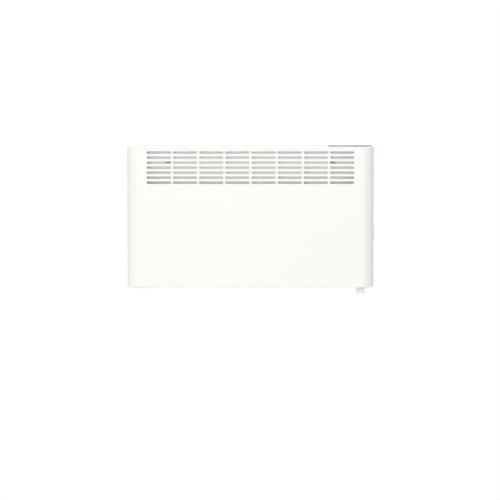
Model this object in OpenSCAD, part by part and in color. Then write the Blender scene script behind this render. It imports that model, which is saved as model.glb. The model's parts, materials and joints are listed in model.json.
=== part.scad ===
// Wall convector heater with its wall bracket
// X runs along the wall, +Y into the wall and +Z up. The wall is the plane y = 0, and the origin is the
// middle of the bracket's four screw holes.

/* [Case] */
// Width of the case
case_w = 738; // [700:1:900]
// Height of the case with its top cover
case_h = 422; // [410:1:500]
// Depth of the case, front face to rear edge
case_d = 80; // [76:1:110]
// Space between the case and the wall
wall_gap = 20; // [20:1:40]
// Sheet thickness of the front case
case_t = 1.2; // [0.8:0.1:2]
// Plan radius of the front corners
corner_r = 34; // [26:1:38]
// Sheet thickness of the rear panel
rear_t = 1; // [0.8:0.1:1.6]
// Width of the case's lip and flanges
lip_w = 12; // [8:1:16]

/* [Top cover] */
// Height of the cover above its seam
cover_h = 5.5; // [5.5:0.5:9]
// Radius of the cover's upper edge
cover_edge_r = 5; // [3:0.5:5]
// Sheet thickness of the cover
cover_t = 1.2; // [0.8:0.1:1.6]
// Gap that shows at the seam
seam_gap = 0.3; // [0.2:0.1:0.6]
// Depth of the cover's tongue inside the case
tongue_h = 6.5; // [5:0.5:7.5]

/* [Grilles] */
// Length of a slot
slot_l = 72; // [40:1:76]
// Height of a slot
slot_h = 7.9; // [4:0.1:9]
// Distance between slots along a row
slot_pitch = 78.2; // [78:0.1:83]
// Distance between rows
row_pitch = 15; // [12:0.5:15]
// Slots in a row
slot_cols = 8; // [4:1:8]
// Rows in the front grille
slot_rows = 7; // [3:1:7]
// Rows in the air inlet
inlet_rows = 4; // [2:1:4]
// Top row's distance below the top of the cover
slot_drop = 16.9; // [16.5:0.1:30]
// Sheet thickness of the inlet grille
inlet_t = 1.5; // [1:0.1:2]

/* [Control panel] */
// Length of the panel
panel_l = 130; // [125:1:180]
// Distance of the panel's rim from the case's outline
panel_edge = 6; // [5.5:0.5:8]
// Height of the panel above the cover
panel_rise = 0.4; // [0.3:0.1:2]
// Wall thickness of the panel
panel_t = 2; // [1.5:0.1:2.5]
// Depth of the control housing below the cover
housing_depth = 12; // [12:0.5:14]
// Length of the display window
window_l = 58; // [40:1:60]
// Width of the display window
window_w = 30; // [20:1:34]
// Diameter of a button
button_d = 13; // [9:0.5:15]
// Distance between buttons
button_pitch = 25; // [19:0.5:25]
// Travel of a button
button_travel = 0.8; // [0.4:0.1:1]
// Height of a button above the panel
button_rise = 0.4; // [0.3:0.1:1.5]

/* [Switch] */
// Height of the switch bezel
bezel_l = 30; // [28:0.5:34]
// Width of the switch bezel
bezel_w = 22; // [20:0.5:26]
// How far the bezel stands out from the case
bezel_rise = 1.6; // [1:0.1:2.5]
// Height of the switch above the bottom of the case
switch_h = 157; // [150:1:170]
// Tilt of the rocker to each side
rock_deg = 10; // [6:0.5:11]

/* [Heating element] */
// Radius of the heating tube
tube_r = 4.2; // [3:0.1:5]
// Distance between the two runs of the tube
tube_pitch = 30; // [24:1:32]
// Height of the tube above the bottom of the case
element_h = 60; // [50:1:80]
// Space between an element bracket and the wall beside it
element_margin = 52.8; // [51:0.1:120]
// Height of a fin
fin_h = 44; // [20:1:50]
// Depth of a fin
fin_d = 52; // [46:1:52]
// Thickness of a fin
fin_t = 0.8; // [0.5:0.1:1.2]
// Distance between fins
fin_pitch = 10; // [6:0.5:20]
// Thickness of the element brackets
support_t = 1.5; // [1:0.1:2]
// Width of the control compartment
comp_w = 48.8; // [48:0.1:52]
// Height of the control compartment above the bottom of the case
comp_h = 300; // [290:1:310]

/* [Wall bracket] */
// Distance between the screw holes along the wall
screw_dx = 494; // [400:1:520]
// Radius of a screw hole
screw_r = 3.25; // [2:0.05:4]
// Sheet thickness of the bracket
bracket_t = 1.5; // [1:0.1:2]
// Length of the top rail
rail_l = 570; // [540:1:600]
// Height of the bottom rail
rail_h = 40; // [36:1:44]
// Width of an upright
upright_w = 38; // [24:1:50]
// Space left between the bracket and the back of the heater
rear_gap = 1.5; // [1.2:0.1:3]
// Height of the hanging tabs above the bottom of the case
tab_rise = 367; // [360:1:380]
// Distance of a hanging tab's inner end from the middle
tab_x = 234; // [200:1:236]
// Length of a hanging tab
tab_l = 24; // [16:1:30]

/* [Latches] */
// Distance of the left latch from the side of the case
left_latch_in = 43; // [39:1:49]
// Distance of the right latch from the side of the case
right_latch_in = 36; // [33:1:36]
// Width of a latch
latch_w = 26.6; // [20:0.2:27]
// Travel of a latch
latch_travel = 17.5; // [12:0.5:18]
// How far a closed latch reaches below the case
latch_drop = 12; // [6:0.5:14]
// Width of a latch's side ribs
latch_rib = 3.4; // [2:0.2:5]

/* [Cable inlet] */
// Radius of the cable gland's bore
gland_r = 4.1; // [3:0.1:5]
// Length of the cable gland
gland_l = 20; // [18:0.5:24]

/* [Hidden] */
$fn = 64;

// Reach of a cut beyond what it cuts
eps = 1;
// Gap between a moving piece and what guides it
slide_gap = 0.3;
// Gap between two fixed pieces that fit together
fit_gap = 0.3;
// Radial gap of a pin in its hole
pin_gap = 0.06;

// Places of the bracket
screw_above_ledge = 11;
screw_above_bottom = 21;
screw_dz = tab_rise + screw_above_ledge - screw_above_bottom;
ledge_z = screw_dz / 2 - screw_above_ledge;
rail_top_z = screw_dz / 2 + 12;
shelf_z = ledge_z - 27;
low_rail_z = -screw_dz / 2 - 16;
low_shelf_z = low_rail_z + rail_h;
bracket_front = -(wall_gap - rear_gap);
foot_t = bracket_t;
rivet_r = 2;
rivet_y = bracket_front / 2;
rivet_dx = upright_w / 4;

// Places of the case
y_front = -(wall_gap + case_d);
y_rear = -wall_gap;
y_panel = y_rear - rear_t;
y_flange = y_panel - case_t;
x_side = case_w / 2;
x_inside = x_side - case_t;
z_bottom = ledge_z - tab_rise;
z_top = z_bottom + case_h;
z_seam = z_top - cover_h;
z_skirt = z_seam + seam_gap;
z_plate = z_top - cover_t;
flange_top = z_seam - tongue_h - 3;
slot_z = z_top - slot_drop;
inlet_z = z_bottom + case_t;
inlet_top = inlet_z + inlet_t;
inlet_y = (y_front + y_rear) / 2 - 1;
inlet_row_pitch = 13;
case_screw_z = [z_bottom + 30, z_bottom + case_h / 2, flange_top - 15];
case_screw_x = x_inside - lip_w / 2;
case_screw_r = 1.6;
cover_screw_x = x_side - 109;
cover_screw_z = z_seam - tongue_h / 2;

// Places of the compartment and the element
comp_x = x_inside - comp_w;
comp_t = 1.2;
comp_top = z_bottom + comp_h;
comp_front = y_front + case_t + 2;
element_x = (comp_x - comp_t - x_inside) / 2;
element_y = (y_front + y_rear) / 2 - 2;
element_z = z_bottom + element_h;
support_x = (comp_x - comp_t + x_inside) / 2 - element_margin;
support_front = y_front + case_t + 5;
support_h = 60;
support_flange = 14;
baffle_t = 0.8;
baffle_low = element_z - 40;
baffle_top = comp_top - 15;
shield_y = y_rear - 13;
shield_t = 0.8;
shield_low = element_z - 25;
shield_top = comp_top - 5;
bush_r = tube_r + 2.8;
bush_flange_r = bush_r + 2;
bush_flange_t = 1.5;
bush_l = 9;
pin_l = 22;
pin_r = 1.5;
tube_end = support_x + 8;
fin_run = support_x - support_flange - 12;
fin_count = floor(2 * fin_run / fin_pitch) + 1;
cutout_x = element_x + support_x - 90;
cutout_z = element_z + fin_h / 2 + 22;
cutout_r = 8.5;
cutout_l = 9;
cutout_pin = 3.2;
grommet_y = (y_front + y_rear) / 2 + 10;
grommet_z = z_bottom + 105;
grommet_r = 6.5;
grommet_bore = 5;

// Leads: thickness, sides, bend size, a direction that none of them runs in, and their lanes
lead_d = 2.4;
lead_sides = 6;
lead_turn = 4;
lead_side = [0.36, 0.48, 0.8];
lead_hole_r = 4;
lead_up_x = x_side - 34;
lead_up_y = y_rear - 18;
lane_x = comp_x + 3.4;
lane_step = 3;

// Places in the compartment
spacer_l = 7;
board_x = comp_x + spacer_l;
board_t = 1.6;
board_face = board_x + board_t;
board_low = comp_top - 95;
board_h = 80;
board_y0 = y_front + 14;
board_y1 = board_y0 + 52;
board_holes = [for (y = [board_y0 + 5, board_y1 - 5], z = [board_low + 22, board_low + board_h - 5]) [y, z]];
connector_z = board_low + 3;
connector_h = 12;
connector_d = 10;
connector_x = board_face + connector_d / 2;
connector_y = [for (i = [0 : 6]) board_y0 + 6 + 6 * i];
panel_plug_x = board_face + 4;
panel_plug_y = board_y0 + 30;
panel_plug_z = board_low + 74;
terminal_x = comp_x + 18;
terminal_z = z_bottom + 60;
terminal_h = 25;
terminal_y = y_rear - 35;
terminal_l = 40;
gland_x = x_side - 30;
gland_z = z_bottom + 75;
gland_body_r = gland_r + 3.9;
gland_head_r = gland_body_r + 2;
gland_out = wall_gap - 12;
nut_t = 5;
stud_x = x_side - 24;
stud_z = z_bottom + 115;
stud_r = 2;
stud_l = 13;
sensor_x = x_side - 26;
sensor_y = (y_front + y_rear) / 2;
sensor_r = 2.5;
sensor_l = 14;
sensor_z = inlet_top + 8;

// Places of the switch
switch_z = z_bottom + switch_h;
switch_y = y_rear - 24;
neck_l = bezel_l - 3;
neck_w = bezel_w - 3;
neck_depth = 10;
neck_wall = 0.9;
pivot_x = x_side - 3.5;
rocker_r = neck_l / 2 - neck_wall - 0.4;
rocker_w = neck_w - 2 * neck_wall - 2 * slide_gap;
pivot_r = 1.2;
body_l = 18;
blade_l = 6;
blade_w = 4.8;
blade_t = 0.8;
blade_z = 6;
blade_y = 5;

// Places of the control panel
panel_x0 = x_side - panel_edge - panel_l;
panel_back = 4;
panel_top = z_top + panel_rise;
panel_under = panel_top - panel_t;
panel_corner = 2.5;
neck_in = panel_edge + 2.7;
neck_low = z_top - 4.5;
housing_low = z_top - housing_depth;
housing_t = 1.2;
housing_wall = 1.5;
post_r = 3;
post_in = 5.6;
pcb_low = housing_low + housing_t + 2;
pcb_t = 1.6;
pcb_top = pcb_low + pcb_t;
pilot_r = 1.05;
control_screw_r = 1;
post_x0 = panel_x0 + neck_in - panel_edge + housing_wall + post_in;
post_x1 = x_side - neck_in - housing_wall - post_in;
post_y0 = y_front + neck_in + housing_wall + post_in;
post_y1 = y_rear - panel_back - (neck_in - panel_edge) - housing_wall - post_in;
post_front_x1 = x_side - corner_r;
post_places = [[post_x0, post_y0], [post_x0, post_y1], [post_x1, post_y1], [post_front_x1, post_y0]];
window_t = 1.2;
window_x = panel_x0 + 42;
window_y = (y_front + y_rear) / 2;
button_r = button_d / 2;
button_lip = 1;
button_lip_t = 0.9;
button_low = panel_under - slide_gap - button_lip_t;
tact_top = button_low - button_travel - slide_gap;
tact_w = 6;
button_x0 = x_side - 52;
button_y0 = window_y - button_pitch / 2;
button_places = [for (j = [0, 1], i = [0, 1]) [button_x0 + i * button_pitch, button_y0 + j * button_pitch]];
mark_l = 5;
mark_w = 1;
mark_t = 0.3;

// Places of the latches
left_latch_x = left_latch_in - x_side;
right_latch_x = x_side - right_latch_in;
latch_t = 13.4;
guide_wall = 1.5;
guide_low = low_rail_z - 2;
guide_top = low_shelf_z - 5;
latch_back = -(bracket_t + guide_wall + slide_gap);
latch_front = latch_back - latch_t;
latch_tip = z_bottom - latch_drop;
latch_l = 46;
latch_top = latch_tip + latch_l;
recess_h = 30;
grip_recess = 3;
grip_rise = 1;
grip_pitch = 5;
grip_half = 0.7;
latch_web = 2.5;
foot_cut = 2.5;
pocket_half = (latch_w / 2 - latch_rib) / 2 - 0.75;
nose_w = 14;
nose_t = 6;
nose_tip = 7;
nose_front = y_panel - 4;
guide_lip = 2.5;
guide_front = latch_front - slide_gap - guide_wall;
latch_gate_top = latch_top + 2;
latch_gate_low = latch_top - 1 - nose_t - latch_travel - 2.5;

// Box between two corners
module block(a, b) {
    translate(a) cube(b - a);
}

// Rods along the axes
module rod_x(x0, x1, y, z, r) {
    translate([x0, y, z]) rotate([0, 90, 0]) cylinder(h = x1 - x0, r = r);
}

module rod_y(x, y0, y1, z, r) {
    translate([x, y1, z]) rotate([90, 0, 0]) cylinder(h = y1 - y0, r = r);
}

module rod_z(x, y, z0, z1, r) {
    translate([x, y, z0]) cylinder(h = z1 - z0, r = r);
}

// Turns a flat shape drawn as X and Z into a plate between two depths
module plate_y(y0, y1) {
    translate([0, y1, 0]) rotate([90, 0, 0]) linear_extrude(y1 - y0) children();
}

// Slot with round ends
module slot_outline(l, h) {
    square([l - h, h], center = true);
    for (side = [-1, 1]) translate([side * (l - h) / 2, 0]) circle(h / 2);
}

// Rows of slots about the middle of a grille's top row
module slot_field(cols, rows, pitch, step) {
    for (col = [0 : cols - 1], row = [0 : rows - 1])
        translate([(col - (cols - 1) / 2) * pitch, -row * step]) slot_outline(slot_l, slot_h);
}

// Outline of the case from above, drawn in by an inset, with a straight back edge
module case_plan(inset, back) {
    half = x_side - inset;
    r = corner_r - inset;
    front = y_front + inset;
    translate([-half, front + r]) square([2 * half, back - front - r]);
    translate([r - half, front]) square([2 * (half - r), r + eps]);
    for (side = [-1, 1]) translate([side * (half - r), front + r]) circle(r);
}

// Wall that follows the case's outline
module case_ring(inset, wall, back, back_wall) {
    difference() {
        case_plan(inset, back);
        case_plan(inset + wall, back - back_wall);
    }
}

// Pan head screw along Y with its head at the back
module rear_screw(x, z, r, reach) {
    rod_y(x, y_rear - reach, y_rear, z, r);
    difference() {
        rod_y(x, y_rear, y_rear + 1.8 * r - 1, z, 1.9 * r);
        block([x - 1.5 * r, y_rear + r - 0.7, z - 0.3], [x + 1.5 * r, y_rear + 2 * r, z + 0.3]);
        block([x - 0.3, y_rear + r - 0.7, z - 1.5 * r], [x + 0.3, y_rear + 2 * r, z + 1.5 * r]);
    }
}

// Front, sides, bottom lip and rear flanges, folded from one sheet
module front_case() {
    color("white")
    difference() {
        union() {
            translate([0, 0, z_bottom]) linear_extrude(z_seam - z_bottom)
                case_ring(0, case_t, y_rear, -eps);
            translate([0, 0, z_bottom]) linear_extrude(case_t)
                case_ring(0, lip_w, y_panel - fit_gap, -eps);
            for (side = [-1, 1]) mirror([side < 0 ? 1 : 0, 0, 0])
                block([x_inside - lip_w, y_flange, inlet_top + fit_gap],
                      [x_inside + case_t / 2, y_panel, flange_top]);
        }
        translate([0, 0, slot_z]) plate_y(y_front - eps, y_front + case_t + eps)
            slot_field(slot_cols, slot_rows, slot_pitch, row_pitch);
        block([x_inside - eps, switch_y - neck_w / 2 - fit_gap, switch_z - neck_l / 2 - fit_gap],
              [x_side + eps, switch_y + neck_w / 2 + fit_gap, switch_z + neck_l / 2 + fit_gap]);
        for (side = [-1, 1], z = case_screw_z)
            rod_y(side * case_screw_x, y_flange - eps, y_panel + eps, z, case_screw_r + pin_gap);
    }
}

// Section of the cover from a corner's axis out to the case's face
module cover_section(inset, low) {
    reach = corner_r - inset;
    edge = cover_edge_r - inset;
    top = z_top - inset;
    translate([0, low]) square([reach - edge, top - low]);
    intersection() {
        translate([reach - edge - eps, low]) square([edge + eps, top - low]);
        union() {
            translate([reach - edge, low]) square([edge, top - edge - low]);
            translate([reach - edge, top - edge]) circle(edge);
        }
    }
}

module cover_shell_section() {
    difference() {
        cover_section(0, z_skirt);
        translate([-eps, 0]) cover_section(cover_t, z_skirt - eps);
        cover_section(cover_t, z_skirt - eps);
    }
}

module cover_side(length) {
    translate([x_side - corner_r, y_rear, 0]) rotate([90, 0, 0]) linear_extrude(length) children();
}

// Top cover with its rounded edge, rear skirt and inner tongue
module top_cover() {
    straight = x_side - corner_r;
    axis_y = y_front + corner_r;
    color("white")
    difference() {
        union() {
            translate([-straight, axis_y, 0]) rotate([90, 0, 90]) mirror([1, 0, 0])
                linear_extrude(2 * straight) cover_shell_section();
            for (side = [-1, 1]) mirror([side < 0 ? 1 : 0, 0, 0]) {
                translate([straight, axis_y, 0]) rotate([0, 0, -90]) rotate_extrude(angle = 90)
                    cover_shell_section();
                cover_side(y_rear - axis_y) cover_shell_section();
                cover_side(cover_t) cover_section(0, z_skirt);
            }
            block([-straight, axis_y, z_plate], [straight, y_rear, z_top]);
            block([-straight, y_rear - cover_t, z_skirt], [straight, y_rear, z_top]);
            translate([0, 0, z_seam - tongue_h]) linear_extrude(tongue_h + cover_h - cover_edge_r / 2)
                case_ring(case_t + fit_gap, cover_t, y_panel, cover_t);
        }
        translate([0, 0, z_plate - eps]) linear_extrude(cover_t + 2 * eps)
            panel_plan(neck_in - panel_edge - fit_gap);
        for (x = [-cover_screw_x, 0, cover_screw_x])
            rod_y(x, y_panel - cover_t - eps, y_panel + eps, cover_screw_z, case_screw_r + pin_gap);
    }
}

// Opening left by a hanging tab that is cut and bent out of the rear panel
module tab_outline(rise) {
    polygon([
        [tab_x, 0], [tab_x + tab_l, 0], [tab_x + tab_l, rise * 0.25],
        [tab_x + 4, rise], [tab_x, rise]
    ]);
}

// Rear panel with its hanging tabs, latch openings and stiffening beads
module rear_panel() {
    tab_reach = 6.5;
    color("lightgray")
    difference() {
        union() {
            block([-(x_inside - fit_gap), y_panel, z_bottom], [x_inside - fit_gap, y_rear, z_seam]);
            for (side = [-1, 1]) mirror([side < 0 ? 1 : 0, 0, 0]) {
                translate([0, y_rear, ledge_z]) linear_extrude(rear_t) tab_outline(tab_reach - 2);
                block([tab_x, bracket_front + bracket_t + 0.5, ledge_z - 4],
                      [tab_x + 7, y_rear + tab_reach - 2, ledge_z + rear_t]);
            }
            for (z = [shelf_z - 70, shelf_z - 140, shelf_z - 210])
                translate([0, 0, z]) plate_y(y_rear - eps / 2, y_rear + 0.8) slot_outline(400, 12);
        }
        for (side = [-1, 1]) mirror([side < 0 ? 1 : 0, 0, 0])
            translate([0, 0, ledge_z + rear_t]) plate_y(y_panel - eps, y_rear) tab_outline(tab_reach);
        for (x = [left_latch_x, right_latch_x])
            block([x - nose_w / 2 - 3, y_panel - eps, latch_gate_low],
                  [x + nose_w / 2 + 3, y_rear + eps, latch_gate_top]);
        for (side = [-1, 1], z = case_screw_z)
            rod_y(side * case_screw_x, y_panel - eps, y_rear + eps, z, case_screw_r + pin_gap);
        for (x = [-cover_screw_x, 0, cover_screw_x])
            rod_y(x, y_panel - eps, y_rear + eps, cover_screw_z, case_screw_r + pin_gap);
        rod_y(gland_x, y_panel - eps, y_rear + eps, gland_z, gland_body_r + pin_gap);
        rod_y(stud_x, y_panel - eps, y_rear + eps, stud_z, stud_r + pin_gap);
    }
}

// Air inlet in the underside of the case
module inlet_grille() {
    color("white")
    difference() {
        translate([0, 0, inlet_z]) linear_extrude(inlet_t)
            case_plan(case_t + fit_gap, y_panel - fit_gap);
        translate([0, inlet_y + inlet_row_pitch * (inlet_rows - 1) / 2, inlet_z - eps])
            linear_extrude(inlet_t + 2 * eps)
            slot_field(slot_cols, inlet_rows, slot_pitch, inlet_row_pitch);
    }
}

// Screws that hold the rear panel to the case's flanges
module case_screws() {
    color("silver")
    for (side = [-1, 1], z = case_screw_z) rear_screw(side * case_screw_x, z, case_screw_r, 6);
}

// Screws that hold the rear panel to the cover's tongue
module cover_screws() {
    color("silver")
    for (x = [-cover_screw_x, 0, cover_screw_x]) rear_screw(x, cover_screw_z, case_screw_r, 6);
}

// Sheet between the heating element and the rear panel
module heat_shield() {
    x0 = element_x - support_x + support_flange + 3;
    x1 = element_x + support_x - support_flange - 3;
    color("gainsboro") {
        block([x0, shield_y, shield_low], [x1, shield_y + shield_t, shield_top]);
        for (z = [shield_low, shield_top - shield_t])
            block([x0, shield_y, z], [x1, y_panel, z + shield_t]);
    }
}

// Sheet that shields the front of the case from the element
module front_baffle() {
    color("gainsboro")
    block([element_x - support_x, support_front - baffle_t, baffle_low],
          [element_x + support_x, support_front, baffle_top]);
}

// Folded support at one end of the element, with its flanges towards the middle
module element_bracket(side) {
    z0 = element_z - support_h / 2;
    z1 = element_z + support_h / 2;
    x = support_x - support_t;
    color("silver")
    translate([element_x, 0, 0]) mirror([side < 0 ? 1 : 0, 0, 0])
    difference() {
        union() {
            block([x, support_front, z0], [support_x, y_panel, z1]);
            block([support_x - support_flange, support_front, z0],
                  [support_x, support_front + support_t, z1]);
            block([support_x - support_flange, y_panel - support_t, z0], [support_x, y_panel, z1]);
        }
        for (run = [-1, 1])
            rod_x(x - eps, support_x + eps, element_y + run * tube_pitch / 2, element_z, bush_r + pin_gap);
    }
}

module left_element_bracket() {
    element_bracket(-1);
}

module right_element_bracket() {
    element_bracket(1);
}

// Hairpin heating tube with its two terminal pins
module heating_tube() {
    color("dimgray")
    translate([element_x, element_y, element_z]) {
        for (run = [-1, 1]) {
            rod_x(-tube_end, tube_end, run * tube_pitch / 2, 0, tube_r);
            rod_x(tube_end - eps, tube_end + pin_l, run * tube_pitch / 2, 0, pin_r);
        }
        translate([-tube_end, 0, 0]) rotate([0, 0, 90]) rotate_extrude(angle = 180)
            translate([tube_pitch / 2, 0]) circle(tube_r);
    }
}

// Fins pressed onto both runs of the tube
module element_fins() {
    color("lightgray")
    translate([element_x, element_y, element_z])
    for (i = [0 : fin_count - 1])
        translate([(i - (fin_count - 1) / 2) * fin_pitch, 0, 0])
        difference() {
            block([-fin_t / 2, -fin_d / 2, -fin_h / 2], [fin_t / 2, fin_d / 2, fin_h / 2]);
            for (run = [-1, 1]) rod_x(-fin_t, fin_t, run * tube_pitch / 2, 0, tube_r + pin_gap);
        }
}

// Ceramic bushes that carry the tube in its brackets
module element_bushes() {
    color("ivory")
    translate([element_x, element_y, element_z])
    for (side = [-1, 1], run = [-1, 1])
        mirror([side < 0 ? 1 : 0, 0, 0])
        difference() {
            union() {
                rod_x(support_x - support_t - bush_flange_t, support_x - bush_flange_t - support_t + bush_l,
                      run * tube_pitch / 2, 0, bush_r);
                rod_x(support_x - support_t - bush_flange_t, support_x - support_t,
                      run * tube_pitch / 2, 0, bush_flange_r);
            }
            rod_x(support_x - bush_l, support_x + bush_l, run * tube_pitch / 2, 0, tube_r + pin_gap);
        }
}

// Safety cut-out on the heat shield above the element
module safety_cutout() {
    color("tan") {
        rod_y(cutout_x, shield_y - cutout_l, shield_y, cutout_z, cutout_r);
        block([cutout_x - cutout_r - 4, shield_y - 1, cutout_z - 4],
              [cutout_x + cutout_r + 4, shield_y, cutout_z + 4]);
        for (side = [-1, 1])
            block([cutout_x + side * cutout_pin - 2, shield_y - cutout_l - 4, cutout_z - 0.4],
                  [cutout_x + side * cutout_pin + 2, shield_y - cutout_l + 1, cutout_z + 0.4]);
    }
}

// Wall and roof that part the controls from the warm air
module compartment_wall() {
    color("gainsboro")
    difference() {
        union() {
            block([comp_x - comp_t, comp_front, inlet_top], [comp_x, y_panel, comp_top]);
            block([comp_x - comp_t, comp_front + corner_r / 2, comp_top - comp_t],
                  [x_inside - lip_w - fit_gap, y_panel, comp_top]);
            block([comp_x - comp_t, y_panel - comp_t, inlet_top], [comp_x + 6, y_panel, comp_top]);
        }
        rod_x(comp_x - comp_t - eps, comp_x + eps, grommet_y, grommet_z, grommet_r + pin_gap);
        rod_z(lead_up_x, lead_up_y, comp_top - comp_t - eps, comp_top + eps, lead_hole_r);
    }
}

// Rubber grommet where the element's leads pass the wall
module wire_grommet() {
    color("black")
    difference() {
        union() {
            rod_x(comp_x - comp_t - 2, comp_x + 2, grommet_y, grommet_z, grommet_r);
            rod_x(comp_x - comp_t - 2, comp_x - comp_t, grommet_y, grommet_z, grommet_r + 2);
            rod_x(comp_x, comp_x + 2, grommet_y, grommet_z, grommet_r + 2);
        }
        rod_x(comp_x - comp_t - 3, comp_x + 3, grommet_y, grommet_z, grommet_bore);
    }
}

// Power board on its spacers
module power_board() {
    color("seagreen")
    difference() {
        block([board_x, board_y0, board_low], [board_face, board_y1, board_low + board_h]);
        for (hole = board_holes) rod_x(board_x - eps, board_face + eps, hole[0], hole[1], 1.6);
    }
}

module board_spacers() {
    color("ivory")
    for (hole = board_holes) {
        rod_x(comp_x, board_x, hole[0], hole[1], 3);
        rod_x(board_x - eps, board_face + 1.5, hole[0], hole[1], 1.5);
    }
}

module power_relay() {
    color("royalblue")
    block([board_face, board_y0 + 12, board_low + 30], [board_face + 15.5, board_y0 + 32, board_low + 58]);
}

module filter_capacitor() {
    color("gold")
    block([board_face, board_y0 + 36, board_low + 32], [board_face + 14, board_y0 + 44, board_low + 58]);
}

// Plug row on the board's lower edge, and the plug of the display lead
module board_connectors() {
    color("ivory") {
        block([board_face, connector_y[0] - 4, connector_z],
              [board_face + connector_d, connector_y[6] + 4, connector_z + connector_h]);
        block([board_face, panel_plug_y - 8, panel_plug_z - 8],
              [board_face + 8, panel_plug_y + 8, panel_plug_z]);
    }
}

// Terminal block for the supply cable
module terminal_block() {
    color("ivory")
    difference() {
        block([comp_x, terminal_y - terminal_l / 2, terminal_z],
              [terminal_x, terminal_y + terminal_l / 2, terminal_z + terminal_h]);
        for (i = [-1 : 1])
            rod_x(terminal_x - 6, terminal_x + eps, terminal_y + i * 12, terminal_z + terminal_h / 2, 3);
        for (i = [-0.5, 0.5])
            block([terminal_x - 4, terminal_y + i * 12 - 0.6, terminal_z - eps],
                  [terminal_x + eps, terminal_y + i * 12 + 0.6, terminal_z + terminal_h + eps]);
    }
}

// Cable gland through the rear panel
module cable_gland() {
    color("dimgray")
    difference() {
        union() {
            rod_y(gland_x, y_rear + gland_out - gland_l, y_rear + gland_out, gland_z, gland_body_r);
            rod_y(gland_x, y_rear, y_rear + gland_out / 2, gland_z, gland_head_r);
        }
        rod_y(gland_x, y_rear + gland_out - gland_l - eps, y_rear + gland_out + eps, gland_z, gland_r);
    }
}

module gland_nut() {
    color("dimgray")
    translate([gland_x, y_panel, gland_z]) rotate([90, 0, 0])
    difference() {
        cylinder(h = nut_t, r = gland_head_r + 1.2, $fn = 6);
        translate([0, 0, -eps]) cylinder(h = nut_t + 2 * eps, r = gland_body_r + pin_gap);
    }
}

// Earth stud on the rear panel with its nut
module earth_stud() {
    color("goldenrod") {
        rod_y(stud_x, y_panel - stud_l, y_rear + 1, stud_z, stud_r);
        rod_y(stud_x, y_rear, y_rear + 1, stud_z, stud_r + 1.5);
        translate([stud_x, y_panel, stud_z]) rotate([90, 0, 0]) cylinder(h = 3, r = stud_r + 2, $fn = 6);
    }
}

// Frame of the switch in the side of the case
module switch_bezel() {
    mouth_l = neck_l - 2 * neck_wall;
    mouth_w = neck_w - 2 * neck_wall;
    color("white")
    translate([0, switch_y, switch_z])
    difference() {
        union() {
            block([x_side, -bezel_w / 2, -bezel_l / 2], [x_side + bezel_rise, bezel_w / 2, bezel_l / 2]);
            block([x_side - neck_depth, -neck_w / 2, -neck_l / 2], [x_side + eps, neck_w / 2, neck_l / 2]);
        }
        block([x_side - neck_depth - eps, -mouth_w / 2, -mouth_l / 2],
              [x_side + bezel_rise + eps, mouth_w / 2, mouth_l / 2]);
        rod_y(pivot_x, -neck_w, neck_w, 0, pivot_r + pin_gap);
    }
}

// Switch mechanism with its four blades
module switch_body() {
    x1 = x_side - neck_depth;
    color("black")
    translate([0, switch_y, switch_z]) {
        block([x1 - body_l, -neck_w / 2, -neck_l / 2], [x1, neck_w / 2, neck_l / 2]);
        for (y = [-blade_y, blade_y], z = [-blade_z, blade_z])
            block([x1 - body_l - blade_l, y - blade_w / 2, z - blade_t / 2],
                  [x1 - body_l + eps, y + blade_w / 2, z + blade_t / 2]);
    }
}

// Side view of the rocker about its pivot, with its hollowed face
module rocker_outline() {
    face = x_side + bezel_rise - pivot_x - 0.6;
    difference() {
        intersection() {
            circle(rocker_r);
            translate([-rocker_r, -3]) square([2 * rocker_r, face + 3]);
        }
        translate([0, face + rocker_r * 3.6]) circle(rocker_r * 3.75);
        translate([0, -3 - rocker_r * 2.1]) circle(rocker_r * 2.15);
    }
}

// Rocker, resting with its lower end out
module rocker() {
    color("whitesmoke")
    translate([pivot_x, switch_y, switch_z]) rotate([0, -rock_deg, 0]) {
        rotate([90, 90, 0]) translate([0, 0, -rocker_w / 2]) linear_extrude(rocker_w) rocker_outline();
        rod_y(0, -(neck_w / 2 - 0.2), neck_w / 2 - 0.2, 0, pivot_r);
    }
}

// Room sensor in its clip on the closed end of the inlet grille
module room_sensor() {
    color("black") {
        rod_x(sensor_x - sensor_l / 2, sensor_x + sensor_l / 2, sensor_y, sensor_z, sensor_r);
        translate([sensor_x - sensor_l / 2, sensor_y, sensor_z]) sphere(sensor_r);
    }
}

module sensor_clip() {
    color("ivory")
    difference() {
        union() {
            block([sensor_x - 5, sensor_y - 8, inlet_top], [sensor_x + 5, sensor_y + 8, inlet_top + 1.5]);
            block([sensor_x - 3, sensor_y - 4, inlet_top], [sensor_x + 3, sensor_y + 4, sensor_z + 1.5]);
        }
        rod_x(sensor_x - 5, sensor_x + 5, sensor_y, sensor_z, sensor_r + pin_gap);
        block([sensor_x - 5, sensor_y - 1.6, sensor_z], [sensor_x + 5, sensor_y + 1.6, sensor_z + 5]);
    }
}

// Corner of a plate that is cut away to leave it round
module corner_cut(x, y, turn) {
    translate([x, y]) rotate(turn) difference() {
        translate([-eps, -eps]) square(panel_corner + eps);
        translate([panel_corner, panel_corner]) circle(panel_corner);
    }
}

// Outline of the control panel from above, drawn in by an inset
module panel_plan(inset) {
    x0 = panel_x0 + inset;
    y0 = y_front + panel_edge + inset;
    y1 = y_rear - panel_back - inset;
    difference() {
        intersection() {
            case_plan(panel_edge + inset, y1);
            translate([x0, y0 - eps]) square([panel_l + eps, y1 - y0 + 2 * eps]);
        }
        corner_cut(x0, y0, 0);
        corner_cut(x0, y1, -90);
        corner_cut(x_side - panel_edge - inset, y1, 180);
    }
}

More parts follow.
